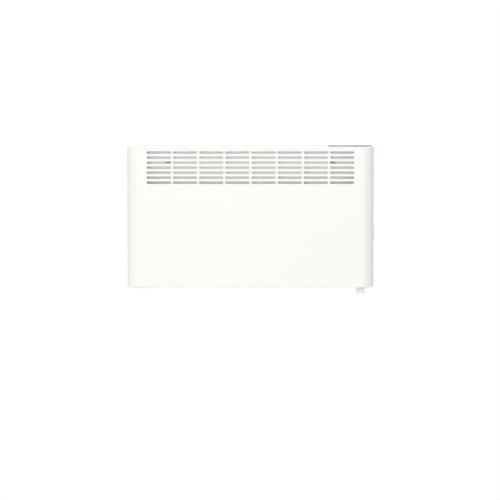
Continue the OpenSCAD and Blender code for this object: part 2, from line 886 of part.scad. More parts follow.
// Dark panel with its window and button holes
module control_panel() {
    neck_wall_in = neck_in - panel_edge;
    color([0.25, 0.25, 0.26])
    difference() {
        union() {
            translate([0, 0, z_top]) linear_extrude(panel_rise) panel_plan(0);
            translate([0, 0, neck_low]) linear_extrude(z_top - neck_low + panel_rise / 2)
                panel_plan(neck_wall_in);
        }
        translate([0, 0, neck_low - eps]) linear_extrude(panel_under - neck_low + eps)
            difference() {
                panel_plan(neck_wall_in + housing_wall);
                for (place = post_places) translate(place) circle(post_r);
            }
        for (place = post_places) rod_z(place[0], place[1], neck_low - eps, panel_under - 0.5, pilot_r);
        block([window_x - window_l / 2, window_y - window_w / 2, panel_under - eps],
              [window_x + window_l / 2, window_y + window_w / 2, panel_top + eps]);
        block([window_x - window_l / 2 - 1.5, window_y - window_w / 2 - 1.5, panel_top - window_t],
              [window_x + window_l / 2 + 1.5, window_y + window_w / 2 + 1.5, panel_top + eps]);
        for (place = button_places)
            rod_z(place[0], place[1], panel_under - eps, panel_top + eps, button_r + slide_gap);
    }
}

module display_window() {
    gap = 0.1;
    color([0.1, 0.1, 0.12])
    block([window_x - window_l / 2 - 1.5 + gap, window_y - window_w / 2 - 1.5 + gap, panel_top - window_t],
          [window_x + window_l / 2 + 1.5 - gap, window_y + window_w / 2 + 1.5 - gap, panel_top]);
}

module display_module() {
    color("lightgray")
    block([window_x - window_l / 2 - 2, window_y - window_w / 2 - 2, pcb_top],
          [window_x + window_l / 2 + 2, window_y + window_w / 2 + 2, panel_under - fit_gap]);
}

module control_board() {
    color("seagreen")
    difference() {
        translate([0, 0, pcb_low]) linear_extrude(pcb_t)
            panel_plan(neck_in - panel_edge + housing_wall + fit_gap);
        for (place = post_places) rod_z(place[0], place[1], pcb_low - eps, pcb_top + eps, pilot_r + 0.3);
    }
}

module tact_switches() {
    color("gray")
    for (place = button_places) translate([place[0], place[1], 0]) {
        block([-tact_w / 2, -tact_w / 2, pcb_top], [tact_w / 2, tact_w / 2, tact_top - 1]);
        rod_z(0, 0, tact_top - 1.5, tact_top, tact_w / 4);
    }
}

// Tray that closes the control panel from below
module control_housing() {
    inset = neck_in - panel_edge;
    color("whitesmoke")
    difference() {
        union() {
            translate([0, 0, housing_low]) linear_extrude(housing_t) panel_plan(inset);
            translate([0, 0, housing_low]) linear_extrude(neck_low - housing_low) difference() {
                panel_plan(inset);
                panel_plan(inset + housing_wall);
            }
            for (place = post_places) rod_z(place[0], place[1], housing_low, pcb_low, post_r);
        }
        for (place = post_places)
            rod_z(place[0], place[1], housing_low - eps, pcb_low + eps, pilot_r + 0.3);
        rod_z(lead_up_x, lead_up_y, housing_low - eps, housing_low + housing_t + eps, lead_hole_r);
    }
}

module control_screws() {
    head_t = 1;
    color("silver")
    for (place = post_places) {
        rod_z(place[0], place[1], housing_low - head_t, panel_under - 1.5, control_screw_r);
        rod_z(place[0], place[1], housing_low - head_t, housing_low, 2 * control_screw_r);
    }
}

// Button with a dished top and a lip that keeps it in the panel
module button(place) {
    top = panel_top + button_rise;
    dish_r = 40;
    dish = 0.5;
    color("gray")
    translate([place[0], place[1], 0]) {
        difference() {
            union() {
                rod_z(0, 0, button_low, top, button_r);
                rod_z(0, 0, button_low, button_low + button_lip_t, button_r + slide_gap + button_lip);
            }
            translate([0, 0, top + dish_r - dish]) sphere(dish_r);
        }
        translate([0, 0, top - dish - eps / 2]) linear_extrude(eps / 2 + mark_t) children();
    }
}

module bar_mark(l) {
    square([l, mark_w], center = true);
}

module minus_button() {
    button(button_places[0]) bar_mark(mark_l);
}

module plus_button() {
    button(button_places[1]) {
        bar_mark(mark_l);
        rotate(90) bar_mark(mark_l);
    }
}

module menu_button() {
    button(button_places[2]) for (y = [-2, 0, 2]) translate([0, y]) bar_mark(mark_l);
}

module confirm_button() {
    button(button_places[3]) difference() {
        circle(mark_l / 2);
        circle(mark_l / 2 - mark_w);
    }
}

function unit(v) = v / norm(v);

function rounded(route) = [
    route[0],
    for (i = [1 : len(route) - 2], t = [0, 0.5, 1])
        let (p = route[i])
        let (a = p + lead_turn * unit(route[i - 1] - p))
        let (c = p + lead_turn * unit(route[i + 1] - p))
        (1 - t) * (1 - t) * a + 2 * t * (1 - t) * p + t * t * c,
    route[len(route) - 1]
];

function heading(path, i) = unit(path[min(i + 1, len(path) - 1)] - path[max(i - 1, 0)]);

function lead_ring(centre, along, r) =
    let (u = unit(cross(along, lead_side)))
    let (v = cross(along, u))
    [for (k = [0 : lead_sides - 1])
        centre + r * (cos(360 * k / lead_sides) * u + sin(360 * k / lead_sides) * v)];

// Tube swept along a route whose corners are rounded
module lead(route, d = lead_d) {
    path = rounded(route);
    last = len(path) - 1;
    points = [for (i = [0 : last]) each lead_ring(path[i], heading(path, i), d / 2)];
    first_cap = [for (k = [0 : lead_sides - 1]) k];
    last_cap = [for (k = [lead_sides - 1 : -1 : 0]) last * lead_sides + k];
    sides = [
        for (i = [0 : last - 1], k = [0 : lead_sides - 1])
            let (a = i * lead_sides + k, b = i * lead_sides + (k + 1) % lead_sides)
            each [[a, a + lead_sides, b + lead_sides], [a, b + lead_sides, b]]
    ];
    polyhedron(points, concat([first_cap], sides, [last_cap]));
}

// Height and place of each lead in the grommet
function grommet_place(i) = [grommet_y + (i % 2 == 0 ? -1.5 : 1.5), grommet_z + (i < 2 ? -1.5 : 1.5)];

// Route from the grommet along the wall and up to a plug on the board
function board_route(i) =
    let (g = grommet_place(i), x = lane_x + lane_step * i)
    [
        [x, g[0], g[1]], [x, connector_y[i], g[1]], [x, connector_y[i], connector_z - 14],
        [connector_x, connector_y[i], connector_z - 6], [connector_x, connector_y[i], connector_z]
    ];

module element_leads() {
    pin_end = element_x + tube_end + pin_l;
    color("firebrick")
    for (i = [0, 1]) {
        x = pin_end + 12 - 4 * i;
        y = element_y + (i - 0.5) * tube_pitch;
        g = grommet_place(i);
        lead(concat([[pin_end, y, element_z], [x, y, element_z], [x, g[0], g[1]]], board_route(i)));
    }
}

module cutout_leads() {
    y = shield_y - cutout_l - 4;
    color("white")
    for (i = [2, 3]) {
        x = cutout_x + (2 * i - 5) * cutout_pin;
        g = grommet_place(i);
        bend_y = y - 12 + 6 * (i - 2);
        lead(concat(
            [[x, y, cutout_z], [x, bend_y, cutout_z], [comp_x - 20, g[0], g[1]]],
            board_route(i)
        ));
    }
}

module sensor_lead() {
    plug_y = connector_y[4];
    x = sensor_x + sensor_l / 2 + 8;
    color("black")
    lead([
        [sensor_x + sensor_l / 2, sensor_y, sensor_z], [x, sensor_y, sensor_z],
        [x, sensor_y, connector_z - 30], [connector_x, plug_y, connector_z - 30],
        [connector_x, plug_y, connector_z]
    ], 2);
}

module display_lead() {
    color("gray")
    lead([
        [panel_plug_x, panel_plug_y, panel_plug_z], [panel_plug_x, panel_plug_y, panel_plug_z + 11],
        [lead_up_x, lead_up_y, panel_plug_z + 11], [lead_up_x, lead_up_y, pcb_low]
    ], 4);
}

module switch_leads() {
    blade_x = x_side - neck_depth - body_l - blade_l;
    x = blade_x - 7;
    color("saddlebrown")
    for (side = [-1, 1]) {
        y = switch_y + side * blade_y;
        post_y = terminal_y + 13 + 4 * side;
        plug_y = connector_y[5 + (side + 1) / 2];
        lead([
            [x, post_y, terminal_z + terminal_h], [x, post_y, switch_z - blade_z - 27],
            [x, y, switch_z - blade_z - 12], [x, y, switch_z - blade_z], [blade_x, y, switch_z - blade_z]
        ]);
        lead([
            [blade_x, y, switch_z + blade_z], [x, y, switch_z + blade_z], [x, y, connector_z - 26],
            [connector_x, plug_y, connector_z - 16], [connector_x, plug_y, connector_z]
        ]);
    }
}

module earth_lead() {
    y = terminal_y + 12;
    z = terminal_z + terminal_h / 2;
    color("yellowgreen")
    lead([
        [terminal_x, y, z], [stud_x, y, z], [stud_x, y, stud_z], [stud_x, y_panel - stud_l, stud_z]
    ]);
}

// Holes for the two rivets of an upright through a sheet between two heights
module rivet_holes(x, z0, z1) {
    for (step = [-1, 1])
        rod_z(x + step * rivet_dx, rivet_y, z0 - eps, z1 + eps, rivet_r + pin_gap);
}

// Top rail: wall web, shelf and the upright lip that the heater hangs on
module bracket_top_rail() {
    half = rail_l / 2;
    color("silver")
    difference() {
        union() {
            block([-half, -bracket_t, shelf_z], [half, 0, rail_top_z]);
            block([-half, bracket_front, shelf_z], [half, 0, shelf_z + bracket_t]);
            block([-half, bracket_front, shelf_z], [half, bracket_front + bracket_t, ledge_z]);
        }
        for (side = [-1, 1]) {
            rod_y(side * screw_dx / 2, -bracket_t - eps, eps, screw_dz / 2, screw_r);
            rivet_holes(side * screw_dx / 2, shelf_z, shelf_z + bracket_t);
        }
    }
}

// Bottom rail: wall web and shelf
module bracket_bottom_rail() {
    half = max(right_latch_x, -left_latch_x) + latch_w / 2 + 4;
    color("silver")
    difference() {
        union() {
            block([-half, -bracket_t, low_rail_z], [half, 0, low_shelf_z]);
            block([-half, bracket_front, low_shelf_z - bracket_t], [half, 0, low_shelf_z]);
        }
        for (side = [-1, 1]) {
            rod_y(side * screw_dx / 2, -bracket_t - eps, eps, -screw_dz / 2, screw_r);
            rivet_holes(side * screw_dx / 2, low_shelf_z - bracket_t, low_shelf_z);
        }
    }
}

// Channel between the rails, closed by a foot at each end
module upright(side) {
    x = side * screw_dx / 2;
    half = upright_w / 2;
    color("silver")
    difference() {
        union() {
            block([x - half, -bracket_t, low_shelf_z], [x + half, 0, shelf_z]);
            for (edge = [-1, 1])
                block([x + edge * (half - bracket_t / 2) - bracket_t / 2, bracket_front, low_shelf_z],
                      [x + edge * (half - bracket_t / 2) + bracket_t / 2, 0, shelf_z]);
            for (z = [low_shelf_z, shelf_z - foot_t])
                block([x - half, bracket_front, z], [x + half, 0, z + foot_t]);
        }
        for (z = [low_shelf_z, shelf_z - foot_t]) rivet_holes(x, z, z + foot_t);
    }
}

module left_upright() {
    upright(-1);
}

module right_upright() {
    upright(1);
}

// Rivets through the feet and the rails
module bracket_rivets() {
    head_t = 1.2;
    color("silver")
    for (side = [-1, 1], step = [-1, 1], low = [low_shelf_z - bracket_t, shelf_z - foot_t]) {
        x = side * screw_dx / 2 + step * rivet_dx;
        high = low + bracket_t + foot_t;
        rod_z(x, rivet_y, low - head_t, high + head_t, rivet_r);
        rod_z(x, rivet_y, low - head_t, low, 1.8 * rivet_r);
        rod_z(x, rivet_y, high, high + head_t, 1.8 * rivet_r);
    }
}

// Channel that a latch slides in
module latch_guide(x) {
    half = latch_w / 2 + slide_gap;
    color("whitesmoke")
    translate([x, 0, 0]) {
        block([-half - guide_wall, -bracket_t - guide_wall, guide_low],
              [half + guide_wall, -bracket_t, guide_top]);
        for (side = [-1, 1]) mirror([side < 0 ? 1 : 0, 0, 0]) {
            block([half, guide_front, guide_low], [half + guide_wall, -bracket_t, guide_top]);
            block([half - guide_lip, guide_front, guide_low],
                  [half + guide_wall, guide_front + guide_wall, guide_top]);
        }
    }
}

module left_latch_guide() {
    latch_guide(left_latch_x);
}

module right_latch_guide() {
    latch_guide(right_latch_x);
}

// Latch with two side ribs, a ribbed finger recess and a hooked nose
module latch(x, shift) {
    half = latch_w / 2;
    inner = half - latch_rib;
    web_front = latch_front + grip_recess;
    web_back = web_front + latch_web;
    color("white")
    translate([x, 0, shift]) {
        difference() {
            block([-half, latch_front, latch_tip], [half, latch_back, latch_top]);
            block([-inner, latch_front - eps, latch_tip - eps], [inner, web_front, latch_tip + recess_h]);
            for (side = [-1, 1])
                block([side * inner / 2 - pocket_half, web_back, latch_tip - eps],
                      [side * inner / 2 + pocket_half, latch_back + eps, latch_tip + recess_h]);
            block([-inner, latch_front - eps, latch_tip - eps],
                  [inner, latch_back + eps, latch_tip + foot_cut]);
        }
        for (i = [-1 : 1])
            block([i * grip_pitch - grip_half, web_front - grip_rise, latch_tip + foot_cut],
                  [i * grip_pitch + grip_half, web_front + eps / 2, latch_tip + recess_h + eps / 2]);
        block([-nose_w / 2, nose_front, latch_top - 1 - nose_t],
              [nose_w / 2, latch_front + eps, latch_top - 1]);
        block([-nose_w / 2, nose_front, latch_top - 1 - nose_t],
              [nose_w / 2, nose_front + 2.5, latch_top + nose_tip]);
    }
}

// Left latch, pushed in
module left_latch() {
    latch(left_latch_x, 0);
}

// Right latch, pulled down
module right_latch() {
    latch(right_latch_x, -latch_travel);
}

front_case();
top_cover();
rear_panel();
inlet_grille();
case_screws();
cover_screws();
heat_shield();
front_baffle();
left_element_bracket();
right_element_bracket();
heating_tube();
element_fins();
element_bushes();
safety_cutout();
compartment_wall();
wire_grommet();
power_board();
board_spacers();
power_relay();
filter_capacitor();
board_connectors();
terminal_block();
cable_gland();
gland_nut();
earth_stud();
switch_bezel();
switch_body();
rocker();
room_sensor();
sensor_clip();
control_panel();
display_window();
display_module();
control_board();
tact_switches();
control_housing();
control_screws();
minus_button();
plus_button();
menu_button();
confirm_button();
element_leads();
cutout_leads();
sensor_lead();
display_lead();
switch_leads();
earth_lead();
bracket_top_rail();
bracket_bottom_rail();
left_upright();
right_upright();
bracket_rivets();
left_latch_guide();
right_latch_guide();
left_latch();
right_latch();
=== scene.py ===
import json
import math

import bmesh
import bpy
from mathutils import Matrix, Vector
from mathutils.geometry import tessellate_polygon


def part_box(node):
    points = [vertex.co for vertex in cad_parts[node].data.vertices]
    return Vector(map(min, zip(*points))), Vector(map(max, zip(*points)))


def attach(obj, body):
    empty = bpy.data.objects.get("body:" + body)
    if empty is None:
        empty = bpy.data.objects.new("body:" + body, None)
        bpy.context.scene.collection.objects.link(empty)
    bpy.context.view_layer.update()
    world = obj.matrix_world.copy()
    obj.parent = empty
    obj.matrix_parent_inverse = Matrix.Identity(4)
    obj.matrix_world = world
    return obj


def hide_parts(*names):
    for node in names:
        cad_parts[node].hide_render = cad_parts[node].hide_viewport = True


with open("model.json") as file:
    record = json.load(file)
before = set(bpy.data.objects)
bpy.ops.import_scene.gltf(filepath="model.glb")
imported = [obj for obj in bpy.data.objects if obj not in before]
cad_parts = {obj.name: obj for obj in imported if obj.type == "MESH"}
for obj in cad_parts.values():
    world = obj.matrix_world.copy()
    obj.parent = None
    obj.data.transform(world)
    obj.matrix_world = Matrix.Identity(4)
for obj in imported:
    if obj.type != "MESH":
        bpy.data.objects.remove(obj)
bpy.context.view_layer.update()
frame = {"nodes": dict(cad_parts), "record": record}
NODES = frame["nodes"]
RECORD = frame["record"]
BODY_OF = {n: body for body, nodes in RECORD["behaviour"]["bodies"].items() for n in nodes}
SLOT_OF = {part["node"]: part["material_slot"] for part in RECORD["subparts"]}
MM = 0.001

# The case, in mm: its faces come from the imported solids, its folds and gaps are the part's values
CASE_LOW, CASE_HIGH = (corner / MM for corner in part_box("front_case"))
COVER_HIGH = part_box("top_cover")[1] / MM
SIDE = CASE_HIGH.x
FRONT = CASE_LOW.y
REAR = CASE_HIGH.y
BOTTOM = CASE_LOW.z
SEAM = CASE_HIGH.z
TOP = COVER_HIGH.z
CORNER = 34.0
SHEET = 1.2
REAR_SHEET = 1.0
LIP = 12.0
FIT = 0.3
CORNER_STEPS = 24

# The outlet grille
SLOT_LENGTH = 72.0
SLOT_HEIGHT = 7.9
SLOT_PITCH = 78.2
ROW_PITCH = 15.0
SLOT_COLUMNS = 8
SLOT_ROWS = 7
SLOT_STEPS = 12
TOP_ROW = TOP - 16.9

# The control panel
PANEL_LOW, PANEL_HIGH = (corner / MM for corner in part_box("control_panel"))
PANEL_TOP = PANEL_HIGH.z
PANEL_FOOT = PANEL_LOW.z
PANEL_UNDER = PANEL_TOP - 2.0
PANEL_EDGE = 6.0
NECK_IN = 2.7
NECK_WALL = 1.5
SMALL_CORNER = 2.5
WINDOW_LOW, WINDOW_HIGH = (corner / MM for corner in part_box("display_window"))
WINDOW_CORNER = 1.6
BUTTON_RADIUS = 6.5
BUTTON_PLAY = 0.3
BUTTON_STEPS = 48
BUTTONS = ("minus_button", "plus_button", "menu_button", "confirm_button")

# The marks on the buttons
BAR_LENGTH = 5
BAR_WIDTH = 1
MARK_EDGE = 0.1

# The switch in the right side
BEZEL_LOW, BEZEL_HIGH = (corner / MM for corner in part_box("switch_bezel"))
BEZEL_MIDDLE = (BEZEL_LOW + BEZEL_HIGH) / 2
NECK_HALF_Y = 9.8
NECK_HALF_Z = 13.8
NECK_BACK = SIDE - 10
PIVOT_X = SIDE - 3.5
ROCKER_REST = 10


# Camera, light and floor

CAMERA_PLACE = (-0.0014, -10.03, 0.8422)
CAMERA_DROP = 5.342


def make_camera():
    """Long lens from just above the case, as in the photograph."""
    lens = bpy.data.cameras.new("camera")
    lens.lens = 240
    lens.sensor_width = 36
    lens.clip_end = 60
    camera = bpy.data.objects.new("camera", lens)
    bpy.context.scene.collection.objects.link(camera)
    camera.location = CAMERA_PLACE
    camera.rotation_euler = (math.radians(90 - CAMERA_DROP), 0, 0)
    bpy.context.scene.camera = camera


def make_lamp(name, place, size, power):
    """Square soft box that faces the middle of the case."""
    light = bpy.data.lights.new(name, "AREA")
    light.size = size
    light.energy = power
    lamp = bpy.data.objects.new(name, light)
    bpy.context.scene.collection.objects.link(lamp)
    lamp.location = place
    lamp.rotation_euler = (-Vector(place)).to_track_quat("-Z", "Y").to_euler()


def seen_directly(tree):
    """Factor that is 1 for rays from the camera, from a gloss and through glass."""
    path = tree.nodes.new("ShaderNodeLightPath")
    seen = path.outputs["Is Camera Ray"]
    for ray in ("Is Glossy Ray", "Is Transmission Ray"):
        either = tree.nodes.new("ShaderNodeMath")
        either.operation = "MAXIMUM"
        tree.links.new(seen, either.inputs[0])
        tree.links.new(path.outputs[ray], either.inputs[1])
        seen = either.outputs[0]
    return seen


def make_world(level):
    """Even white light, in front of a plain white background."""
    world = bpy.data.worlds.new("studio")
    bpy.context.scene.world = world
    world.use_nodes = True
    tree = world.node_tree
    tree.nodes.clear()
    light = tree.nodes.new("ShaderNodeBackground")
    light.inputs["Strength"].default_value = level
    light.inputs["Color"].default_value = (0.985, 1.0, 1.0, 1)
    backdrop = tree.nodes.new("ShaderNodeBackground")
    backdrop.inputs["Color"].default_value = (1, 1, 1, 1)
    mix = tree.nodes.new("ShaderNodeMixShader")
    tree.links.new(seen_directly(tree), mix.inputs[0])
    tree.links.new(light.outputs[0], mix.inputs[1])
    tree.links.new(backdrop.outputs[0], mix.inputs[2])
    out = tree.nodes.new("ShaderNodeOutputWorld")
    tree.links.new(mix.outputs[0], out.inputs["Surface"])


def make_floor(height):
    """Pale floor under the heater, which hangs on its wall bracket."""
    material = bpy.data.materials.new("floor")
    material.use_nodes = True
    tree = material.node_tree
    diffuse = tree.nodes["Principled BSDF"]
    diffuse.inputs["Base Color"].default_value = (0.75, 0.75, 0.75, 1)
    diffuse.inputs["Roughness"].default_value = 0.9
    glow = tree.nodes.new("ShaderNodeEmission")
    glow.inputs["Color"].default_value = (1, 1, 1, 1)
    mix = tree.nodes.new("ShaderNodeMixShader")
    tree.links.new(seen_directly(tree), mix.inputs[0])
    tree.links.new(diffuse.outputs[0], mix.inputs[1])
    tree.links.new(glow.outputs[0], mix.inputs[2])
    tree.links.new(mix.outputs[0], tree.nodes["Material Output"].inputs["Surface"])
    mesh = bpy.data.meshes.new("floor")
    reach = 3.0
    corners = [(-reach, -reach), (reach, -reach), (reach, reach), (-reach, reach)]
    mesh.from_pydata([(x, y, height) for x, y in corners], [], [(0, 1, 2, 3)])
    mesh.materials.append(material)
    floor = bpy.data.objects.new("floor", mesh)
    bpy.context.scene.collection.objects.link(floor)


make_camera()
bpy.context.scene.view_settings.view_transform = "Standard"
make_world(0.53)
make_lamp("front_key", (-0.3, -5.9, 0.6), 1.2, 94)
make_lamp("overhead", (0, -0.8, 4.0), 3.0, 72)
make_lamp("low_fill", (-0.2, -4.8, -0.2), 1.6, 12)
make_lamp("side_fill", (-4.5, -0.6, 0.8), 2.0, 23)
make_floor(-1.1)


# Finishes


class Signal:
    """An output socket of a shader node that works in sums and products."""

    def __init__(self, finish, socket):
        self.finish = finish
        self.socket = socket

    def maths(self, operation, left, right):
        """One sum, product or comparison of two values."""
        return self.finish.node("Math", {"operation": operation}, {0: left, 1: right})

    def __add__(self, other):
        return self.maths("ADD", self, other)

    __radd__ = __add__

    def __sub__(self, other):
        return self.maths("SUBTRACT", self, other)

    def __rsub__(self, other):
        return self.maths("SUBTRACT", other, self)

    def __mul__(self, other):
        return self.maths("MULTIPLY", self, other)

    __rmul__ = __mul__

    def __mod__(self, other):
        return self.maths("FLOORED_MODULO", self, other)

    def __gt__(self, other):
        return self.maths("GREATER_THAN", self, other)

    def __lt__(self, other):
        return self.maths("LESS_THAN", self, other)

    def __abs__(self):
        return self.finish.node("Math", {"operation": "ABSOLUTE"}, {0: self})

    def between(self, low, high):
        """0 below low, 1 above high and a smooth step in the middle."""
        return self.finish.node(
            "MapRange", {"interpolation_type": "SMOOTHSTEP"}, {0: self, 1: low, 2: high}
        )


class Finish:
    """A material whose nodes are added by formula."""

    def __init__(self, name, colour, roughness, metallic=0.0, coat=0.0):
        self.material = bpy.data.materials.new(name)
        self.material.use_nodes = True
        self.tree = self.material.node_tree
        self.shader = self.tree.nodes["Principled BSDF"]
        start = {"Base Color": colour, "Metallic": metallic, "Coat Weight": coat}
        self.set(Roughness=roughness, **start)

    def feed(self, socket, value):
        """Links a signal to a socket, or writes a plain value into it."""
        if isinstance(value, Signal):
            self.tree.links.new(value.socket, socket)
        elif socket.type == "RGBA":
            socket.default_value = (*value, 1)
        else:
            socket.default_value = value

    def set(self, **values):
        """Values or signals for the named inputs of the shader."""
        for name, value in values.items():
            self.feed(self.shader.inputs[name], value)

    def node(self, kind, settings, values, output=0):
        """One node: its settings first, then its sockets' values or links."""
        made = self.tree.nodes.new("ShaderNode" + kind)
        for key, value in settings.items():
            if key == "stops":
                for stop, (place, colour) in zip(made.color_ramp.elements, value):
                    stop.position = place
                    stop.color = (*colour, 1)
            else:
                setattr(made, key, value)
        for key, value in values.items():
            self.feed(made.inputs[key], value)
        return Signal(self, made.outputs[output])

    def place(self):
        """Place on the object, in metres."""
        return self.node("TexCoord", {}, {}, "Object")

    def axes(self):
        """The three numbers of the place, in mm."""
        parts = [self.node("SeparateXYZ", {}, {0: self.place()}, axis) for axis in "XYZ"]
        return [part * (1 / MM) for part in parts]

    def noise(self, size, detail=2.0, stretch=(1, 1, 1)):
        """Smooth noise whose grains are about size mm across, longer where stretch is small."""
        scaled = self.node(
            "VectorMath", {"operation": "MULTIPLY"}, {0: self.place(), 1: stretch}
        )
        return self.node(
            "TexNoise", {}, {"Vector": scaled, "Scale": 1 / (size * MM), "Detail": detail}
        )

    def cells(self, size, output="Color"):
        """Random value in cells about size mm across, or the distance from their middles."""
        return self.node(
            "TexVoronoi", {}, {"Vector": self.place(), "Scale": 1 / (size * MM)}, output
        )

    def blend(self, factor, a, b):
        """Colour between a and b."""
        return self.node("Mix", {"data_type": "RGBA"}, {0: factor, 6: a, 7: b}, 2)

    def shade(self, colour, factor):
        """Colour made lighter or darker by a factor that varies."""
        return self.node("VectorMath", {"operation": "SCALE"}, {0: colour, "Scale": factor})

    def relief(self, height, depth):
        """Bump of a height between 0 and 1, depth mm deep."""
        bump = {"Height": height, "Distance": depth * MM, "Strength": 1.0}
        self.set(Normal=self.node("Bump", {}, bump))


def powder_coat(name, colour, roughness):
    """Matt powder coat: fine peel, slightly uneven gloss."""
    finish = Finish(name, colour, roughness)
    peel = finish.noise(1.1, 3)
    pores = finish.noise(0.35, 1)
    uneven = finish.noise(60, 2)
    finish.set(
        **{
            "Base Color": finish.shade(colour, uneven * 0.02 + 0.99),
            "Roughness": uneven * 0.08 + peel * 0.06 + (roughness - 0.07),
        }
    )
    finish.relief(peel * 0.7 + pores * 0.3, 0.015)
    return finish


def zinc(name, colour, roughness, spangle, contrast, depth=0.01):
    """Zinc-coated sheet with its crystal pattern and rolling marks."""
    finish = Finish(name, colour, roughness, metallic=1.0)
    crystals = finish.cells(spangle)
    rolling = finish.noise(0.6, 2, (0.05, 1, 1))
    stain = finish.noise(45, 4)
    finish.set(
        **{
            "Base Color": finish.shade(colour, (crystals + stain - 1) * contrast + 1),
            "Roughness": (crystals + stain - 1) * contrast + rolling * 0.1 + (roughness - 0.05),
        }
    )
    finish.relief(rolling * 0.6 + crystals * 0.4, depth)
    return finish


def heated_steel(name, colour):
    """Annealed tube, straw and blue where it has been hot."""
    finish = Finish(name, colour, 0.45, metallic=0.9)
    heat = finish.noise(35, 3, (0.4, 1, 1))
    tint = finish.node(
        "ValToRGB",
        {"stops": [(0.3, colour), (0.72, (0.2, 0.15, 0.13))]},
        {0: heat},
    )
    finish.set(**{"Base Color": tint, "Roughness": heat * 0.2 + 0.35})
    finish.relief(finish.noise(0.8, 3), 0.02)
    return finish


def mill_metal(name, colour, roughness, grain=(0.06, 1, 1)):
    """Bare metal with fine drawn lines."""
    finish = Finish(name, colour, roughness, metallic=1.0)
    lines = finish.noise(0.5, 2, grain)
    marks = finish.noise(14, 4)
    finish.set(
        **{
            "Base Color": finish.shade(colour, marks * 0.16 + 0.9),
            "Roughness": lines * 0.12 + marks * 0.14 + (roughness - 0.13),
        }
    )
    finish.relief(lines, 0.008)
    return finish


def moulded(name, colour, roughness, grain=0.5, depth=0.012, flow=0.03):
    """Moulded plastic with a fine spark-eroded grain."""
    finish = Finish(name, colour, roughness)
    skin = finish.noise(grain, 3)
    cloud = finish.noise(25, 3)
    finish.set(
        **{
            "Base Color": finish.shade(colour, cloud * flow + (1 - flow / 2)),
            "Roughness": skin * 0.1 + cloud * 0.06 + (roughness - 0.08),
        }
    )
    finish.relief(skin, depth)
    return finish


def rubber(name, colour):
    """Soft rubber with a dusty bloom."""
    finish = Finish(name, colour, 0.7)
    bloom = finish.noise(5, 5)
    finish.set(
        **{
            "Base Color": finish.shade(colour, bloom * 0.7 + 0.65),
            "Roughness": bloom * 0.2 + 0.58,
        }
    )
    finish.relief(finish.noise(0.4, 3), 0.03)
    return finish


def sheathed(name, colour, roughness):
    """Sheath of a lead, with faint handling marks."""
    finish = Finish(name, colour, roughness)
    marks = finish.noise(3, 4)
    finish.set(
        **{
            "Base Color": finish.shade(colour, marks * 0.3 + 0.85),
            "Roughness": marks * 0.2 + (roughness - 0.1),
        }
    )
    finish.relief(marks, 0.03)
    return finish


def unglazed(name, colour):
    """Unglazed ceramic, speckled and dry."""
    finish = Finish(name, colour, 0.8)
    speck = finish.noise(0.7, 5)
    finish.set(
        **{
            "Base Color": finish.shade(colour, speck.between(0.3, 0.5) * 0.2 + 0.82),
            "Roughness": speck * 0.15 + 0.72,
        }
    )
    finish.relief(speck, 0.04)
    return finish


def circuit(name, colour):
    """Solder mask over copper tracks, with tinned spots."""
    finish = Finish(name, colour, 0.25, coat=0.3)
    x, y, z = finish.axes()
    patch = finish.cells(9)
    track_pitch, track_gap = 2.6, 1.5
    along = (y % track_pitch) > track_gap
    up = (z % track_pitch) > track_gap
    flat = ((x + y) % track_pitch) > track_gap
    tracks = along * (patch > 0.55) + up * (patch < 0.35) * flat
    spots = finish.cells(3.2, output="Distance") < 0.14
    traced = finish.blend(tracks, colour, tuple(1.7 * c + 0.01 for c in colour))
    finish.set(
        **{
            "Base Color": finish.blend(spots, traced, (0.62, 0.6, 0.52)),
            "Roughness": finish.noise(8, 3) * 0.15 + 0.2,
        }
    )
    finish.relief(tracks * 0.5 + spots * 0.5, 0.03)
    return finish


def lens_gloss(name, colour):
    """Smoked lens with faint wipe marks; the unlit display behind it is a shade darker."""
    finish = Finish(name, colour, 0.18)
    wipes = finish.noise(9, 4, (1, 0.3, 1))
    x, y, _ = finish.axes()
    middle_x, middle_y = ((WINDOW_LOW + WINDOW_HIGH) / 2).xy
    beside = abs(x - middle_x).between(23.5, 24.5)
    beyond = abs(y - middle_y).between(9.5, 10.5)
    edge = finish.node("Math", {"operation": "MAXIMUM"}, {0: beside, 1: beyond})
    finish.set(
        **{
            "Base Color": finish.shade(colour, edge * 1.2 + wipes * 0.3 + 0.5),
            "Roughness": wipes * 0.08 + 0.15,
        }
    )
    return finish


